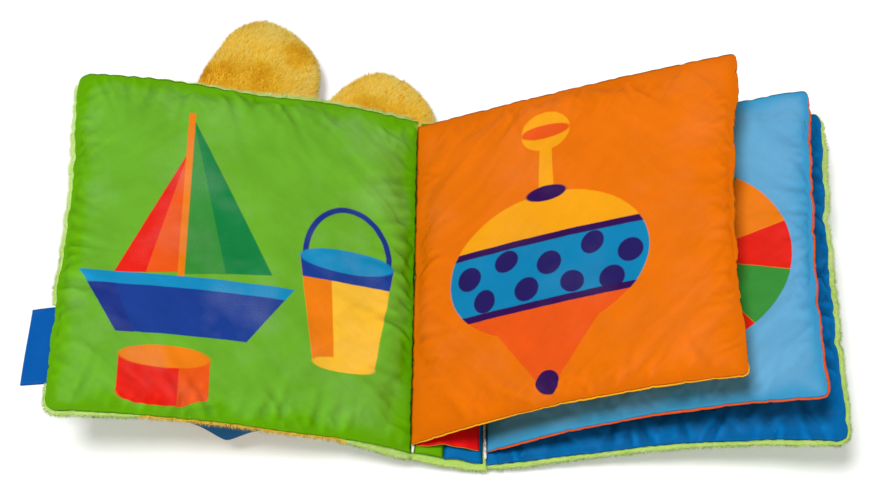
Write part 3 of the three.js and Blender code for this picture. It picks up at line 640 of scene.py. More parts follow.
def spinning_top(p):
    """A spinning top with a dotted band on the first leaf."""
    p.cut(AMBER, (58.4, 96), (65.6, 96), (64.4, 128), (59.6, 128))
    p.dot(AMBER, (62, 129), (11, 9))
    p.dot(ORANGE_RED, (62, 129), (11, 3.2))
    body = p.ellipse((62, 66), (44, 33))
    p.put(body, AMBER)
    band = p.both(body, p.polygon((10, 48), (114, 48), (114, 78), (10, 78)))
    p.put(band, RING_BLUE)
    dots = [(27, 67), (44, 71), (63, 66), (82, 71), (98, 64), (34, 55), (53, 56), (73, 55), (90, 53)]
    for number, centre in enumerate(dots):
        p.put(p.both(band, p.ellipse(centre, (5.4, 5.4 - 0.6 * (number % 2)), 20 * number)), DOT)
    p.put(p.both(body, p.polygon((10, 30), (114, 30), (114, 48), (10, 48))), ORANGE_RED)
    p.cut(ORANGE_RED, (58, 12), (66, 12), (90, 46.4), (34, 46.4))
    p.dot(PURPLE, (62, 12), (5, 5))
    p.put(p.both(body, p.polygon((10, 46.4), (114, 46.4), (114, 49.6), (10, 49.6))), PURPLE)
    p.put(p.both(body, p.polygon((10, 76.4), (114, 76.4), (114, 79.6), (10, 79.6))), PURPLE)
    p.dot(PURPLE, (62, 99), (9, 3.6))


def ball(p):
    """A panelled ball on the second leaf."""
    middle, ground = (88.0, 70.0), p.ink
    p.ink = YELLOW
    turns = (-95, -52, -14, 18, 58, 100, 142, 190)
    for number, ink in enumerate((RED, GREEN_MID, RED, YELLOW_ORANGE, GREEN_MID, BLUE, RED)):
        low, high = (math.radians(turn) for turn in turns[number:number + 2])
        corners = [(middle[0] + 90 * math.cos(turn), middle[1] + 90 * math.sin(turn)) for turn in (low, high)]
        p.cut(ink, middle, *corners)
    p.dot(BLUE, middle, (9, 9))
    panels, p.ink = p.ink, ground
    p.put(p.ellipse(middle, (43, 43)), panels)


green_lining = cloth("green_lining", GREEN, toys, mottle=(0.94, 1.1), sheen_paint=0.055)
green_plain = cloth("green_plain", GREEN)
blue_lining = cloth("blue_lining", colour(10, 109, 176), mottle=(0.94, 1.08), sheen_paint=0.004, crease_shade=0.24)
orange_print = cloth("orange_print", ORANGE, spinning_top)
sky_print = cloth("sky_print", SKY, ball)
amber_cloth = cloth("amber_cloth", colour(250, 178, 32))
orange_red_cloth = cloth("orange_red_cloth", colour(228, 88, 30))
red_cloth = cloth("red_cloth", colour(238, 20, 22))
scarf_cloth = cloth("scarf_cloth", colour(0, 86, 132))
tag_ribbon = cloth("tag_ribbon", colour(2, 90, 172), roughness=0.42, weave=0.3)
cream_felt = fleece("cream_felt", colour(228, 208, 170), colour(246, 233, 206))
lime_backing = fleece("lime_backing", colour(178, 216, 94), colour(202, 232, 124))
lime_pile = strands("lime_pile", colour(188, 224, 102), colour(214, 242, 142), colour(238, 252, 196))
gold_backing = fleece("gold_backing", colour(228, 164, 6), colour(250, 204, 62))
gold_pile = strands("gold_pile", colour(220, 148, 0), colour(255, 212, 60), colour(255, 246, 150))
white_thread = thread_material("white_thread", colour(244, 242, 236))
brown_thread = thread_material("brown_thread", colour(74, 44, 28))
rattle_shell = moulded("rattle_shell", colour(240, 240, 234), 0.4)
bead_plastic = moulded("bead_plastic", colour(214, 72, 56), 0.3)


def dress(piece, material, slot, *nodes):
    """Gives a piece its material and hides the nodes that it stands for; its slot is not used."""
    piece.data.materials.append(material)
    if nodes:
        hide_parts(*nodes)
    return piece


PILE_FLOOR, PILE_SUNK = 0.15, 0.15


def pile(name, base, material, slot, density, length, width, comb, lean, seed, shade=None):
    """Short strands standing on a base piece, each a thin blade that shades like the base under it."""
    def read(items, key, size, kind=float):
        values = np.empty(len(items) * size, kind)
        items.foreach_get(key, values)
        return values.reshape(-1, size)

    mesh = base.data
    mesh.calc_loop_triangles()
    corners = read(mesh.loop_triangles, "vertices", 3, int)
    owner = read(mesh.loop_triangles, "polygon_index", 1, int)[:, 0]
    places = read(mesh.vertices, "co", 3) / MM
    facings = read(mesh.vertex_normals, "vector", 3)
    a, b, c = (places[corners[:, k]] for k in range(3))
    area = np.linalg.norm(np.cross(b - a, c - a), axis=1) / 2
    rng = np.random.default_rng(seed)
    amount = area * density(owner, (a + b + c) / 3)
    total = int(amount.sum())
    chosen = np.searchsorted(np.cumsum(amount) / amount.sum(), rng.random(total))
    chosen = np.clip(chosen, 0, len(corners) - 1)
    r, q = np.sqrt(rng.random((total, 1))), rng.random((total, 1))
    weights = (1 - r, r * (1 - q), r * q)
    roots = sum(w * p[chosen] for w, p in zip(weights, (a, b, c)))
    normals = unit(sum(w * facings[corners[chosen, k]] for k, w in enumerate(weights)))
    flow = comb(roots) + 0.45 * rng.normal(size=(total, 3))
    flow = unit(flow - normals * (flow * normals).sum(1)[:, None])
    tilt = lean * rng.uniform(0.6, 1.3, (total, 1))
    heading = normals * np.cos(tilt) + flow * np.sin(tilt)
    long = length * rng.uniform(0.7, 1.15, (total, 1))
    sideways = unit(np.cross(heading, normals) + 0.3 * rng.normal(size=(total, 3))) * width / 2
    foot = roots - PILE_SUNK * normals
    blades = np.stack([foot - sideways, foot + sideways, foot + heading * long], 1)
    blades[..., 2] = np.maximum(blades[..., 2], PILE_FLOOR)
    tone = 0.5 + 0.12 * rng.normal(size=total)
    if shade is not None:
        tone = tone + shade(roots)
    # Painted shade and light along each strand: darker at its root, deep in the pile, and paler at its tip
    root_shade_tip_light = np.clip(np.stack([tone - 0.22, tone - 0.22, tone + 0.2], 1), 0, 1).astype(np.float32)
    made = bpy.data.meshes.new(name)
    faces = np.arange(total * 3).reshape(-1, 3)
    made.from_pydata((blades.reshape(-1, 3) * MM).tolist(), [], faces.tolist())
    made.attributes.new("shade", "FLOAT", "POINT").data.foreach_set("value", root_shade_tip_light.ravel())
    made.polygons.foreach_set("use_smooth", [True] * total)
    facing = unit(normals + 0.35 * heading + np.array([0, 0, 0.8]))
    made.normals_split_custom_set_from_vertices(np.repeat(facing, 3, 0).tolist())
    piece = bpy.data.objects.new(name, made)
    bpy.context.scene.collection.objects.link(piece)
    return dress(piece, material, slot)


def outward(middle, drop=None):
    """Comb that lays pile away from a middle."""
    def comb(roots):
        away = roots - np.array(middle)
        if drop is not None:
            away[:, 2] = -drop
        return unit(away)
    return comb


def folding():
    """Way to join a piece: bakes its placement into its points."""
    return lambda piece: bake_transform(piece)


join_front = folding()
join_spine = folding()
join_leaf_1 = folding()
join_leaf_2 = folding()


# Covers
HEAD_EDGE_X, HEAD_EDGE_HALF, HEAD_EDGE_Y = -78.0, 40.0, MID_Y - 70
TAG_V, TAG_HALF, TAG_ROOT_X = -47.0, 17.5, LEFT_X - COVER_WIDTH + 16
COVER_LOFTS, COVER_GATHER, LEAF_LOFTS, LEAF_GATHER = (5.2, 6.2), 0.06, (4.0, 4.0), 0.065
OUTSIDE_DROP, OUTSIDE_FLOOR = 0.6, 1.2


def overhang(shape, seed, near, end, far):
    """Uneven overhang along a pad's edge, between the least and most given for each side."""
    edge = rim_of(shape)
    field = np.clip(0.5 + 0.42 * waves(np.stack(edge, -1) * CELL / 2, (14, 60), seed), 0, 1)
    side = np.where(edge[1] == 0, 0, np.where(edge[0] == shape[0] - 1, 1, 2))
    low, high = np.array([near, end, far]).T
    return smooth(low[side] + (high - low)[side] * field, 6, closed=True)


def tuck(reach, upper):
    """Front cover's overhang, tucked in over the head's edge, beside the ears and behind the tag."""
    edge = rim_of(upper.shape[:2])
    run, side = upper[edge][:, 0], upper[edge][:, 1]
    near, far, end = edge[1] == 0, edge[1] == upper.shape[1] - 1, edge[0] == upper.shape[0] - 1
    bare = np.where(near, ramp(run, 26, 8) * ramp(118 - run, 0, 8), 0)
    bare = np.where(far, ramp(run, 80, 40), bare)
    bare = np.where(end, ramp(18 - np.abs(side - TAG_V), 0, 2), bare)
    return reach * (1 - bare) - 0.8 * bare + np.where(near, 1.8 * ramp(24 - run, 0, 20), 0)


def at_chin(centre):
    """Which places lie where the head's edge shows at the near seam."""
    return (centre[:, 1] < HEAD_EDGE_Y) & (np.abs(centre[:, 0] - HEAD_EDGE_X) < HEAD_EDGE_HALF)


def cover(name, panel, start, seed, folds, lining, slot, join, overhangs):
    """Both halves of a padded cover with the pile on its outside, and the outer half given back."""
    upper, lower = sew(panel, start, 6.0, COVER_GATHER, seed, COVER_LOFTS, 0.7, *folds)
    lower[..., 2] -= OUTSIDE_DROP
    reach = overhang(upper.shape[:2], seed + 5, *overhangs)
    if panel is front:
        reach = tuck(reach, upper)
    else:
        for _ in range(3):
            lower[..., 2] += np.maximum(0, OUTSIDE_FLOOR - panel.place(lower)[..., 2])
    pad = half_pad(f"{name}_inside", panel, upper, [(0.0, 0.35), (-1.2, -0.1)])
    dress(pad, lining, slot, f"{name}_lining", f"{name}_wadding")
    rings = [(0.55 * reach, -1.5), (reach + 0.25, -0.5), (0.7 * reach + 0.1, 0.35), (-1.5, -0.4)]
    outside = half_pad(f"{name}_outside", panel, lower, rings, root_share=0.0)
    dress(outside, lime_backing, "light_plush", f"{name}_plush")
    columns, rows = (k - 1 for k in upper.shape[:2])

    def density(owner, centre):
        i, j = owner // rows, owner % rows
        border = np.minimum(np.minimum(j, rows - 1 - j), columns - 1 - i)
        amount = np.where(owner >= outside["grid"], 12.0, np.where(border < 6, 7.0, 1.6))
        if panel is front:
            held = (np.abs(centre[:, 1] - MID_Y - TAG_V) < TAG_HALF) & (centre[:, 0] < TAG_ROOT_X)
            amount = np.where(at_chin(centre) | held, 0.0, amount)
        return np.where(owner < outside["outer"], amount, 0.0)

    fuzz = pile(f"{name}_pile", outside, lime_pile, "light_plush", density, 1.7, 0.17,
                outward((panel.path_x[panel.STEPS // 2], MID_Y, 0), 8), 0.75, seed + 9,
                lambda roots: 0.16 * waves(roots, (5, 16), seed + 3))
    for piece in (pad, outside, fuzz):
        join(piece)
    return outside


front_outside = cover("front_cover", front, 0.9, 11, FRONT_FOLDS, green_lining, "green_lining", join_front,
                      ((0.3, 1.6), (0.2, 1.9), (0.7, 1.7)))
cover("back_cover", back, 0.6, 31, BACK_FOLDS, blue_lining, "blue_lining",
      lambda piece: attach(piece, "back_cover"), ((0.6, 1.8), (1.2, 2.2), (-0.4, 0.2)))

# Golden edge of the head, caught in the near seam of the front cover
def chin_density(owner, centre):
    on_seam = (owner >= front_outside["grid"]) & (owner < front_outside["outer"])
    return 14.0 * (on_seam & at_chin(centre))


join_front(pile("head_edge_pile", front_outside, gold_pile, "gold_plush", chin_density, 2.3, 0.2,
                lambda roots: np.array([0.1, -1.0, -0.35]), 1.15, 137))


# Spine: two padded strips of lining over a strip of plush
SPINE_NEAR_DRAW = 2.2


def strip_grid(low, high, height, columns=14, rows=90, near_draw=0.0):
    """Flat grid of a strip along the spine, its near end drawn in towards the front cover."""
    u = np.linspace(low, high, columns)
    v = np.linspace(-height / 2, height / 2, rows)
    U, V = np.repeat(u[:, None], rows, 1), np.repeat(v[None, :], columns, 0)
    return U, V - near_draw * (1 - U / SPINE_RUN) * np.clip(2 * V / height, -1, 0)


def spine_strip(name, low, high, material, slot, node, seed):
    """One of the strips of lining, crowned and a little uneven."""
    U, V = strip_grid(low, high, COVER_HEIGHT - 1, near_draw=SPINE_NEAR_DRAW)
    flat = np.stack([U, V], -1)
    a, b = np.abs(2 * (U - low) / (high - low) - 1), np.abs(2 * V / COVER_HEIGHT)
    w = 0.5 + 1.9 * np.sqrt((1 - a ** 4) * (1 - b ** 14)) + 0.22 * waves(flat, (7, 20), seed)
    sheet = np.stack([U, V + 0.3 * waves(flat, (8, 24), seed + 1), w], -1)
    piece = half_pad(name, spine, sheet, [(0.0, 0.0), (-0.4, -0.9)])
    dress(piece, material, slot, node)
    join_spine(piece)


def spine_plush():
    """Strip of plush under the linings, with its pile."""
    U, V = strip_grid(-0.9, SPINE_RUN + 0.9, COVER_HEIGHT + 2.4, 20, 96, SPINE_NEAR_DRAW)
    under = -2.4 - 0.5 * np.sqrt(np.clip(1 - (2 * U / SPINE_RUN - 1) ** 4, 0, None))
    under += 0.25 * waves(np.stack([U, V], -1), (9, 26), 57)
    reach = overhang(U.shape, 59, *[(0.2, 1.2)] * 3)
    rings = [(0.0, 0.3), (0.8 * reach, 1.5), (0.4 * reach, 2.3), (-1.0, 2.0)]
    piece = half_pad("spine_outside", spine, np.stack([U, V, under], -1), rings, root_share=0.0)
    dress(piece, lime_backing, "light_plush", "spine_plush", "spine_wadding")

    def density(owner, centre):
        amount = np.where(np.abs(centre[:, 1] - MID_Y) > 76, 10.0, 1.6)
        return np.where(owner < piece["outer"], amount, 0.0)

    fuzz = pile("spine_pile", piece, lime_pile, "light_plush", density, 1.7, 0.17,
                lambda roots: np.sign(roots[:, 1:2] - MID_Y) * (0, 1, 0) - (0, 0, 0.5), 0.7, 61)
    for part in (piece, fuzz):
        join_spine(part)


spine_strip("spine_inside_green", 0.4, SPINE_SEAM - 0.1, green_plain, "green_lining",
            "spine_lining_green", 51)
spine_strip("spine_inside_blue", SPINE_SEAM + 0.1, SPINE_RUN - 0.4, blue_lining, "blue_lining",
            "spine_lining_blue", 53)
spine_plush()


# Leaves
def leaf(name, panel, root, seed, face, face_slot, rear, rear_slot, join, overhangs):
    """Both halves of a padded leaf."""
    upper, lower = sew(panel, root, 5.2, LEAF_GATHER, seed, LEAF_LOFTS, 0.6, *LEAF_FOLDS)
    top = half_pad(f"{name}_face", panel, upper, [(0.0, 0.3), (-1.0, 0.0)])
    dress(top, face, face_slot, f"{name}_print", f"{name}_wadding")
    reach = overhang(upper.shape[:2], seed + 5, *overhangs)
    rings = [(0.7 * reach, -0.35), (reach, 0.0), (0.6 * reach, 0.3), (-1.2, -0.4)]
    low = half_pad(f"{name}_rear", panel, lower, rings, root_share=0.0)
    dress(low, rear, rear_slot, f"{name}_back", f"{name}_binding")
    for piece in (top, low):
        join(piece)


leaf("leaf_1", leaf_1, -0.8, 71, orange_print, "orange_print", amber_cloth, "amber_cloth", join_leaf_1,
     ((0.15, 0.8), (-0.5, -0.2), (-0.5, -0.3)))
leaf("leaf_2", leaf_2, 0.9, 91, sky_print, "sky_print", orange_red_cloth, "orange_red_cloth", join_leaf_2,
     ((0.4, 1.1), (0.6, 1.2), (-0.5, -0.3)))


# Thin cloth: a closed sheet between a grid of points and its copy set back along the normals
def thin_cloth(name, points, thickness, size):
    n, m, _ = points.shape
    normal = unit(np.cross(np.gradient(points, axis=0), np.gradient(points, axis=1)))
    both = np.concatenate([(points + way * normal * thickness / 2).reshape(-1, 3) for way in (1, -1)])
    grid = np.arange(n * m).reshape(n, m)
    ring = grid[rim_of((n, m))]
    faces = np.concatenate([quads(grid), quads(grid)[:, ::-1] + n * m, band(ring, ring + n * m)])
    s, t = np.meshgrid(np.linspace(0, size[0], n), np.linspace(0, size[1], m), indexing="ij")
    uv = np.tile(np.stack([s, t], -1).reshape(-1, 2) / PAGE, (2, 1))
    return link(name, both, faces.tolist(), uv)


# Gutter strip between the stitch lines: red over amber, arched, its ends lifted in waves
GUTTER_START, GUTTER_WIDTH, GUTTER_LENGTH = 1.0, SPINE_RUN - 3.5, LEAF_HEIGHT - 1


def gutter(name, rise, material, slot, node, seed):
    U, V = strip_grid(GUTTER_START, GUTTER_START + GUTTER_WIDTH, GUTTER_LENGTH, 22, 100)
    a = np.clip(2 * (U - GUTTER_START) / GUTTER_WIDTH - 1, -1, 1)
    w = 2.7 + rise + 1.9 * (1 - np.abs(a) ** 2.2)
    ends = np.exp(-(LEAF_HEIGHT / 2 - np.abs(V)) / 7)
    w += ends * (1 - a ** 2) * (0.9 + 0.8 * np.sin(U * 0.62 + 1.2))
    w += 0.15 * waves(np.stack([U, V], -1), (9, 30), seed) * (1 - a ** 2)
    V = V + 0.4 * waves(np.stack([U, V * 0.1], -1), (8, 20), 7)
    piece = thin_cloth(name, spine.place(np.stack([U, V, w], -1)), 0.4, (GUTTER_WIDTH, GUTTER_LENGTH))
    dress(piece, material, slot, node)
    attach(piece, "spine")


gutter("gutter_red", 0.55, red_cloth, "red_cloth", "gutter_top", 101)
gutter("gutter_amber", 0.0, amber_cloth, "amber_cloth", "gutter_under", 101)


# Top stitching: short plump stitches, each dipping into the cloth at its ends
def stitching(name, x, z, body, node, seed):
    rng = np.random.default_rng(seed)
    points, faces = [], []
    rings, sectors = 7, 8
    pitch, long, run = 3.3, 3.6, COVER_HEIGHT - 5
    for number in range(int(run / pitch)):
        y = MID_Y - run / 2 + (number + 0.5) * pitch
        yaw = rng.normal(0, 0.05)
        wide = 0.6 * rng.uniform(0.9, 1.1)
        drift = 0.2 * math.sin(number * 0.7 + seed) + rng.normal(0, 0.05)
        sunk = 2.8 * ramp(LEAF_HEIGHT / 2 + 1 - abs(y - MID_Y), 0, 2)
        first = len(points)
        for i in range(rings):
            t = i / (rings - 1)
            off = (t - 0.5) * long
            plump = wide * (0.5 + 0.5 * math.sin(math.pi * t) ** 0.5)
            for k in range(sectors):
                angle = 2 * math.pi * k / sectors
                points.append((x + drift + yaw * off + plump * math.cos(angle), y + off,
                               z - sunk - 0.25 + 0.45 * math.sin(math.pi * t) + plump * math.sin(angle)))
        numbers = first + np.arange(rings * sectors).reshape(rings, sectors)
        for near, far in zip(numbers, numbers[1:]):
            faces += band(near, far).tolist()
        faces += [numbers[0][::-1].tolist(), numbers[-1].tolist()]
    piece = link(name, points, faces)
    dress(piece, white_thread, "thread", node)
    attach(piece, body)


stitching("stitches_left", LEFT_X, 12.3, "spine", "left_stitch", 3)
stitching("stitches_right", RIGHT_X, 7.2, "back_cover", "right_stitch", 8)


# Stuffed head: a dome flattened where it stands, with its face on the flat side
HEAD_U, HEAD_V, HEAD_TURN = 64.0, 5.0, math.radians(10.7)
HEAD_HALF_WIDTH, HEAD_HALF_HEIGHT, HEAD_DEPTH, HEAD_POWER = 58.0, 75.0, 45.0, 2 / 2.2


def under_front(u, v, drop):
    """Point under the front cover's plush."""
    a = np.clip(2 * u / COVER_WIDTH - 1, -1, 1)
    b = np.clip(v / front.half(u), -1, 1)
    swell = (1 - np.abs(a) ** 2.6) * (1 - np.abs(b) ** 2.6)
    return front.place(np.stack([u, v, -4.3 - 4.0 * swell - drop], -1))


def head_place(across, up):
    """Place on the front cover, from the stitch and along it, of a place on the head."""
    u = HEAD_U - across * math.cos(HEAD_TURN) - up * math.sin(HEAD_TURN)
    v = HEAD_V - across * math.sin(HEAD_TURN) + up * math.cos(HEAD_TURN)
    return u, v


def bow(value):
    """A sine or cosine, bent towards a squarer outline."""
    return np.sign(value) * np.abs(value) ** HEAD_POWER


def rings_mesh(name, rings, first, last):
    """Closed form from rings of points that end in two single points."""
    count = len(rings[0])
    points = np.concatenate([[first], np.concatenate(rings), [last]])
    end = len(points) - 1
    faces = []
    for k in range(count):
        after = (k + 1) % count
        faces.append([0, 1 + after, 1 + k])
        for i in range(len(rings) - 1):
            near, far = 1 + i * count, 1 + (i + 1) * count
            faces.append([near + k, near + after, far + after, far + k])
        faces.append([1 + (len(rings) - 1) * count + k, 1 + (len(rings) - 1) * count + after, end])
    return link(name, points, faces)


def head_ring(share, margin, dome):
    """Ring of the head at a share of the way out from its middle, on its dome or under the cover."""
    phase = math.pi / 2 * share
    angles = np.linspace(0, 2 * math.pi, 96, endpoint=False)
    spread = bow(np.sin(phase))
    across = (HEAD_HALF_WIDTH - margin) * spread * bow(np.cos(angles))
    up = (HEAD_HALF_HEIGHT - margin) * spread * bow(np.sin(angles))
    points = under_front(*head_place(across, up), 1.0)
    depth = (HEAD_DEPTH - margin) * bow(np.cos(phase)) if dome else 0.0
    points[:, 2] = np.maximum(points[:, 2] - depth, margin)
    return points


HEAD_SKIN = 1.0
shares = np.linspace(0, 1, 25)[1:]
rings = [head_ring(s, HEAD_SKIN, True) for s in shares]
rings += [head_ring(s, HEAD_SKIN, False) for s in shares[::-1][1:]]
for ring in rings:
    lift = ring[:, 2] > HEAD_SKIN + 0.5
    ring[lift, 2] += 0.35 * waves(ring[lift], (14, 40), 121)
    ring[:, 2] = np.maximum(ring[:, 2], HEAD_SKIN)
head = rings_mesh("head_plush", rings, *(head_ring(0, HEAD_SKIN, dome)[0] for dome in (True, False)))
dress(head, gold_backing, "gold_plush", "head_skin", "head_stuffing")
head_fuzz = pile("head_pile", head, gold_pile, "gold_plush",
                 lambda owner, centre: np.where(centre[:, 2] > 1.3, 4.5, 3.0) * (centre[:, 2] < 40),
                 1.5, 0.19, outward((*head_ring(0, 0, True)[0][:2], 12.0)), 0.9, 131,
                 lambda roots: 0.2 * waves(roots, (10, 30), 133))
for piece in (head, head_fuzz):
    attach(piece, "front_cover")


def patch(name, node, radii, material, slot, top=1.3):
    """Crowned felt or embroidered patch in the place of its node, on the flat of the head."""
    low, high = (np.array(corner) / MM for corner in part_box(node))
    middle = (low + high)[:2] / 2
    angles = np.linspace(0, 2 * math.pi, 48, endpoint=False)
    cos, sin = math.cos(HEAD_TURN), math.sin(HEAD_TURN)
    flat = np.stack([np.cos(angles) * radii[0], np.sin(angles) * radii[1]], -1) @ [[cos, -sin], [sin, cos]]
    steps = [(0.25, 0.02), (0.5, 0.05), (0.75, 0.12), (0.92, 0.3), (1.0, 0.6)]
    levels = [(share, low[2] + rise) for share, rise in steps] + [(0.96, top), (0.5, top)]
    made = [np.concatenate([middle + flat * share, np.full((48, 1), z)], 1) for share, z in levels]
    piece = rings_mesh(name, made, (*middle, low[2]), (*middle, top))
    dress(piece, material, slot, node)
    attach(piece, "front_cover")


patch("muzzle_felt", "muzzle", (26, 20), cream_felt, "cream_felt", 1.2)
patch("nose_embroidery", "nose", (8, 6), brown_thread, "brown_thread", 1.1)
for eye in ("eye_left", "eye_right"):
    patch(f"{eye}_embroidery", eye, (4.5, 6), brown_thread, "brown_thread")


# Ears
ALONG_COMB, ACROSS_COMB = np.array([0.68, 0.73, 0.0]), np.array([0.73, -0.68, 0.0])
EAR_SKIN, EAR_FLOOR, EAR_BULGE_AT, EAR_BEND = 1.0, 1.2, 0.72, (8, 26)


def ear(side, across, inset, lean, sway, length, width, depth, root_z, tip_z, peak, brushed, seed):
    """A flat stuffed ear from under the cover to its rounded tip, with brushed pile."""
    u, v = head_place(across, HEAD_HALF_HEIGHT - inset)
    root = under_front(np.array([u]), np.array([v]), 0)[0]
    sectors, count = 56, 40
    angles = np.linspace(0, 2 * math.pi, sectors, endpoint=False)
    turn = math.radians(lean)

    def ring_at(share, angle):
        past = max(0, (share - 0.5) / 0.5)
        rounded = max(0, 1 - past ** 2) ** peak
        neck = 0.72 + 0.28 * math.sin(math.pi / 2 * min(share / 0.5, 1))
        x = (width / 2 - EAR_SKIN) * rounded * neck * np.cos(angle)
        z = (depth / 2 - EAR_SKIN) * rounded * neck * np.sin(angle)
        x = np.where(x < 0, x, x * (1 + 0.06 * math.sin(math.pi * share)))
        x = x - sway * (max(share, 0.5) - EAR_BULGE_AT) ** 2
        y = np.full_like(x, (length - EAR_SKIN) * share)
        z = root_z + (tip_z - root_z) * share + z
        return np.stack([root[0] + x * math.cos(turn) + y * math.sin(turn),
                         root[1] - x * math.sin(turn) + y * math.cos(turn), z], -1)

    made = []
    for share in np.sin(math.pi / 2 * np.arange(count) / count):
        ring = ring_at(share, angles)
        centre = ring.mean(0)
        bulge = 1 + 0.028 * waves(ring, (16, 34), seed) * min(1, share * 3)
        ring[:, :2] = centre[:2] + (ring[:, :2] - centre[:2]) * bulge[:, None]
        ring[:, 2] += 0.45 * waves(ring[:, :2], (14, 34), seed + 1)
        ring[:, 2] = np.maximum(ring[:, 2], EAR_FLOOR)
        made.append(ring)
    piece = rings_mesh(f"ear_{side}_plush", made, made[0].mean(0), ring_at(1, np.zeros(1))[0])
    dress(piece, gold_backing, "gold_plush", f"ear_{side}_skin", f"ear_{side}_stuffing")

    def shade(roots):
        """Darker where the pile is brushed the other way, with fine combed strokes of painted shade in the
        gaps between tufts.
        """
        total = 0.24 + 0.08 * waves(roots, (12, 30), seed + 2)
        for x, y, wide, high in brushed:
            place = (roots[:, :2] - root[:2] - (x, y)) / (wide, high)
            uneven = 0.85 + 0.25 * waves(roots, (6, 14), seed + 5)
            total -= 0.72 * np.exp(-(place ** 2).sum(1) ** 1.5) * uneven
        # Painted shade: thin dark strokes along the comb, standing for the gaps between tufts
        combed = np.stack([roots @ ACROSS_COMB, 0.14 * (roots @ ALONG_COMB)], -1)
        return total - 0.45 * np.clip(waves(combed, (0.8, 2.0), seed + 4, 14) - 0.5, 0, 1.2)

    fuzz = pile(f"ear_{side}_pile", piece, gold_pile, "gold_plush",
                lambda owner, centre: np.where(centre[:, 2] > root_z - 2, 6.0, 3.0), 1.9, 0.26,
                lambda roots: np.array([math.sin(turn) + 0.55, 0.6, 0.1]), 0.85, seed + 3, shade)
    for part in (piece, fuzz):
        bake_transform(part)


ear("left", across=-20.6, inset=23.4, lean=2.6, sway=30.0, length=74.0, width=53.0, depth=17.0, root_z=12.0,
    tip_z=10.0, peak=0.6, brushed=((-8, 34, 22, 12), (-19, 41, 6, 7), (17, 51, 7, 7)), seed=151)
ear("right", across=34.2, inset=21.3, lean=3.6, sway=0.0, length=57.0, width=51.0, depth=11.0, root_z=6.0,
    tip_z=8.0, peak=0.66, brushed=((-4, 32, 18, 9),), seed=171)


# Scarf flap under the chin, hung in two soft folds down to its point
SCARF_WIDTH, SCARF_DROP, SCARF_BEND = 36.0, 17.5, 4


def hang_scarf():
    chin_u = head_place(0.0, -HEAD_HALF_HEIGHT)[0]
    root_v = 3.2 - front.half(np.array([chin_u]))[0] - along(front.near, chin_u / COVER_WIDTH)
    columns = np.linspace(-1, 1, 41)
    t = np.linspace(0, 1, 25)
    tops = under_front(chin_u - columns * SCARF_WIDTH / 2, np.full_like(columns, root_v), 0.6)
    low_x, low_y, low_z = under_front(np.array([chin_u]), np.array([root_v]), 13.5)[0]
    top_z = tops[len(tops) // 2][2]
    lines = []
    for column, top in zip(columns, tops):
        drop = 0.5 + (top_z - low_z) * max(0, 1.06 - math.sqrt(column ** 2 + 0.0036))
        line = np.tile(top, (len(t), 1))
        line[:, 0] -= 2.0 * column * t
        line[:, 1] -= 0.5 + 0.6 * np.sin(4.5 * column + 1.5 * t) * t
        line[:, 2] -= drop * t
        lines.append(line)
    piece = thin_cloth("scarf_flap", np.array(lines), 0.5, (SCARF_WIDTH, SCARF_DROP))
    dress(piece, scarf_cloth, "scarf_cloth", "scarf")
    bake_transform(piece)


hang_scarf()

# Ribbon tag folded over and caught in the outer seam of the front cover
TAG_WIDTH, TAG_LENGTH, TAG_BEND = 24.5, 34.0, 4


def fold_tag():
    low, high = (np.array(corner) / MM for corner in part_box("label_tag"))
    turn = np.linspace(0, math.pi, 9)[1:-1]
    out = np.linspace(0, 0.95, 16)
    shares = np.concatenate([out, 0.95 + 0.05 * np.sin(turn), out[::-1]])
    layers = np.concatenate([np.full(16, -1.0), -0.65 - 0.35 * np.cos(turn), np.full(16, -0.3)])
    t = np.linspace(0, 1, 40)
    span = np.linspace(low[1], high[1], 40) - 0.8
    side = span - MID_Y
    seam = COVER_WIDTH + along(front.end, side * 2 / COVER_HEIGHT) - 0.7
    root = front.place(np.stack([seam, side, np.zeros(40)], -1))
    tip_x = low[0] + 1.0 + 1.6 * (t - 0.3)
    rows = []
    for share, layer in zip(shares, layers):
        sag = 0.6 * share ** 2 * np.sin(t * math.pi * 1.4 + 0.4)
        x = root[:, 0] + (tip_x - root[:, 0]) * share
        rows.append(np.stack([x, span - 1.2 * share, root[:, 2] + layer + sag], -1))
    piece = thin_cloth("side_tag", np.array(rows), 0.35, (TAG_WIDTH, TAG_LENGTH))
    dress(piece, tag_ribbon, "tag_ribbon", "label_tag")
    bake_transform(piece)


fold_tag()

# Rattle inside the head
for name in ("rattle_case_base", "rattle_case_lid"):
    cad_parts[name].material_slots[0].material = rattle_shell
for number in range(1, 5):
    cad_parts[f"rattle_bead_{number}"].material_slots[0].material = bead_plastic


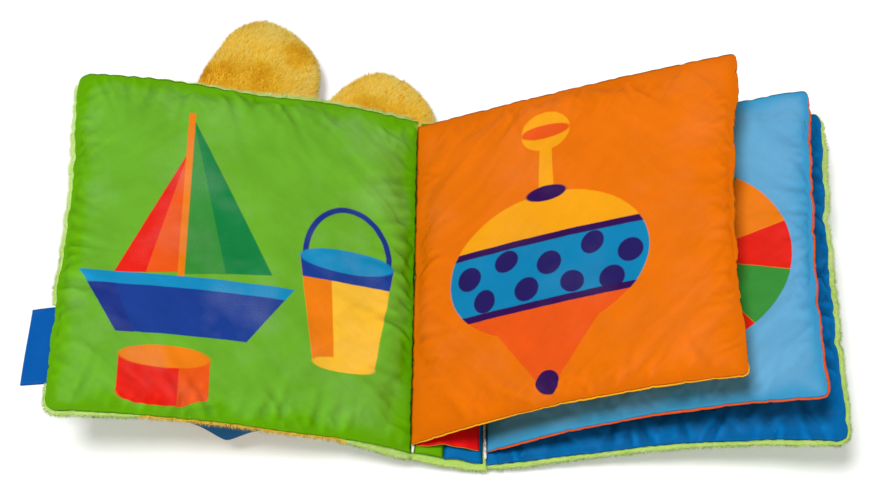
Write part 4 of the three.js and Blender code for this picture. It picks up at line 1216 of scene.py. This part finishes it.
# Floor, light and camera
FLOOR_TONE, FLOOR_GLOW, WORLD_LIGHT = 0.78, 0.3, 0.24
bpy.ops.mesh.primitive_plane_add(size=8.0)
floor = bpy.context.object
floor.name = "floor"
ground = Graph("floor")
seen, glossy, through = (ground.node("LightPath", out=f"Is {kind} Ray")
                         for kind in ("Camera", "Glossy", "Transmission"))
seen = ground.math("MAXIMUM", seen, ground.math("MAXIMUM", glossy, through))
strength = ground.math("MULTIPLY", seen, FLOOR_GLOW)
glow = ground.node("Emission", {"Color": (1, 1, 1, 1), "Strength": strength})
ground.set(Base_Color=(FLOOR_TONE,) * 3 + (1,), Roughness=0.9, Specular_IOR_Level=0.0)
both = ground.node("AddShader", {0: ground.shader.outputs[0], 1: glow})
ground.tree.links.new(both, ground.tree.nodes["Material Output"].inputs["Surface"])
floor.data.materials.append(ground.material)

scene = bpy.context.scene
scene.world = bpy.data.worlds.new("studio")
scene.world.use_nodes = True
background = scene.world.node_tree.nodes["Background"]
background.inputs["Color"].default_value = (1, 1, 1, 1)
background.inputs["Strength"].default_value = WORLD_LIGHT


def aim(piece, heading):
    """Adds a light or camera that looks along a heading."""
    piece.rotation_euler = Vector(heading).to_track_quat("-Z", "Y").to_euler()
    scene.collection.objects.link(piece)


for name, energy, angle, heading in (("key", 2.45, 16, (0.2, 0.16, -0.965)),
                                     ("fill", 0.25, 50, (-0.35, 0.55, -0.75))):
    sun = bpy.data.objects.new(name, bpy.data.lights.new(name, "SUN"))
    sun.data.energy = energy
    sun.data.angle = math.radians(angle)
    aim(sun, heading)

ELEVATION, AZIMUTH, DISTANCE, LENS = math.radians(60), math.radians(0.86), 1.067, 103.99
target = Vector((-0.00353, -0.00116, 0.004))
away = Vector((math.sin(AZIMUTH) * math.cos(ELEVATION), -math.cos(AZIMUTH) * math.cos(ELEVATION),
               math.sin(ELEVATION)))
camera = bpy.data.objects.new("camera", bpy.data.cameras.new("camera"))
camera.data.lens = LENS
camera.data.sensor_width = 36
camera.data.sensor_fit = "HORIZONTAL"
camera.location = target + away * DISTANCE
aim(camera, -away)
scene.camera = camera
scene.view_settings.view_transform = "Standard"

bpy.context.view_layer.update()
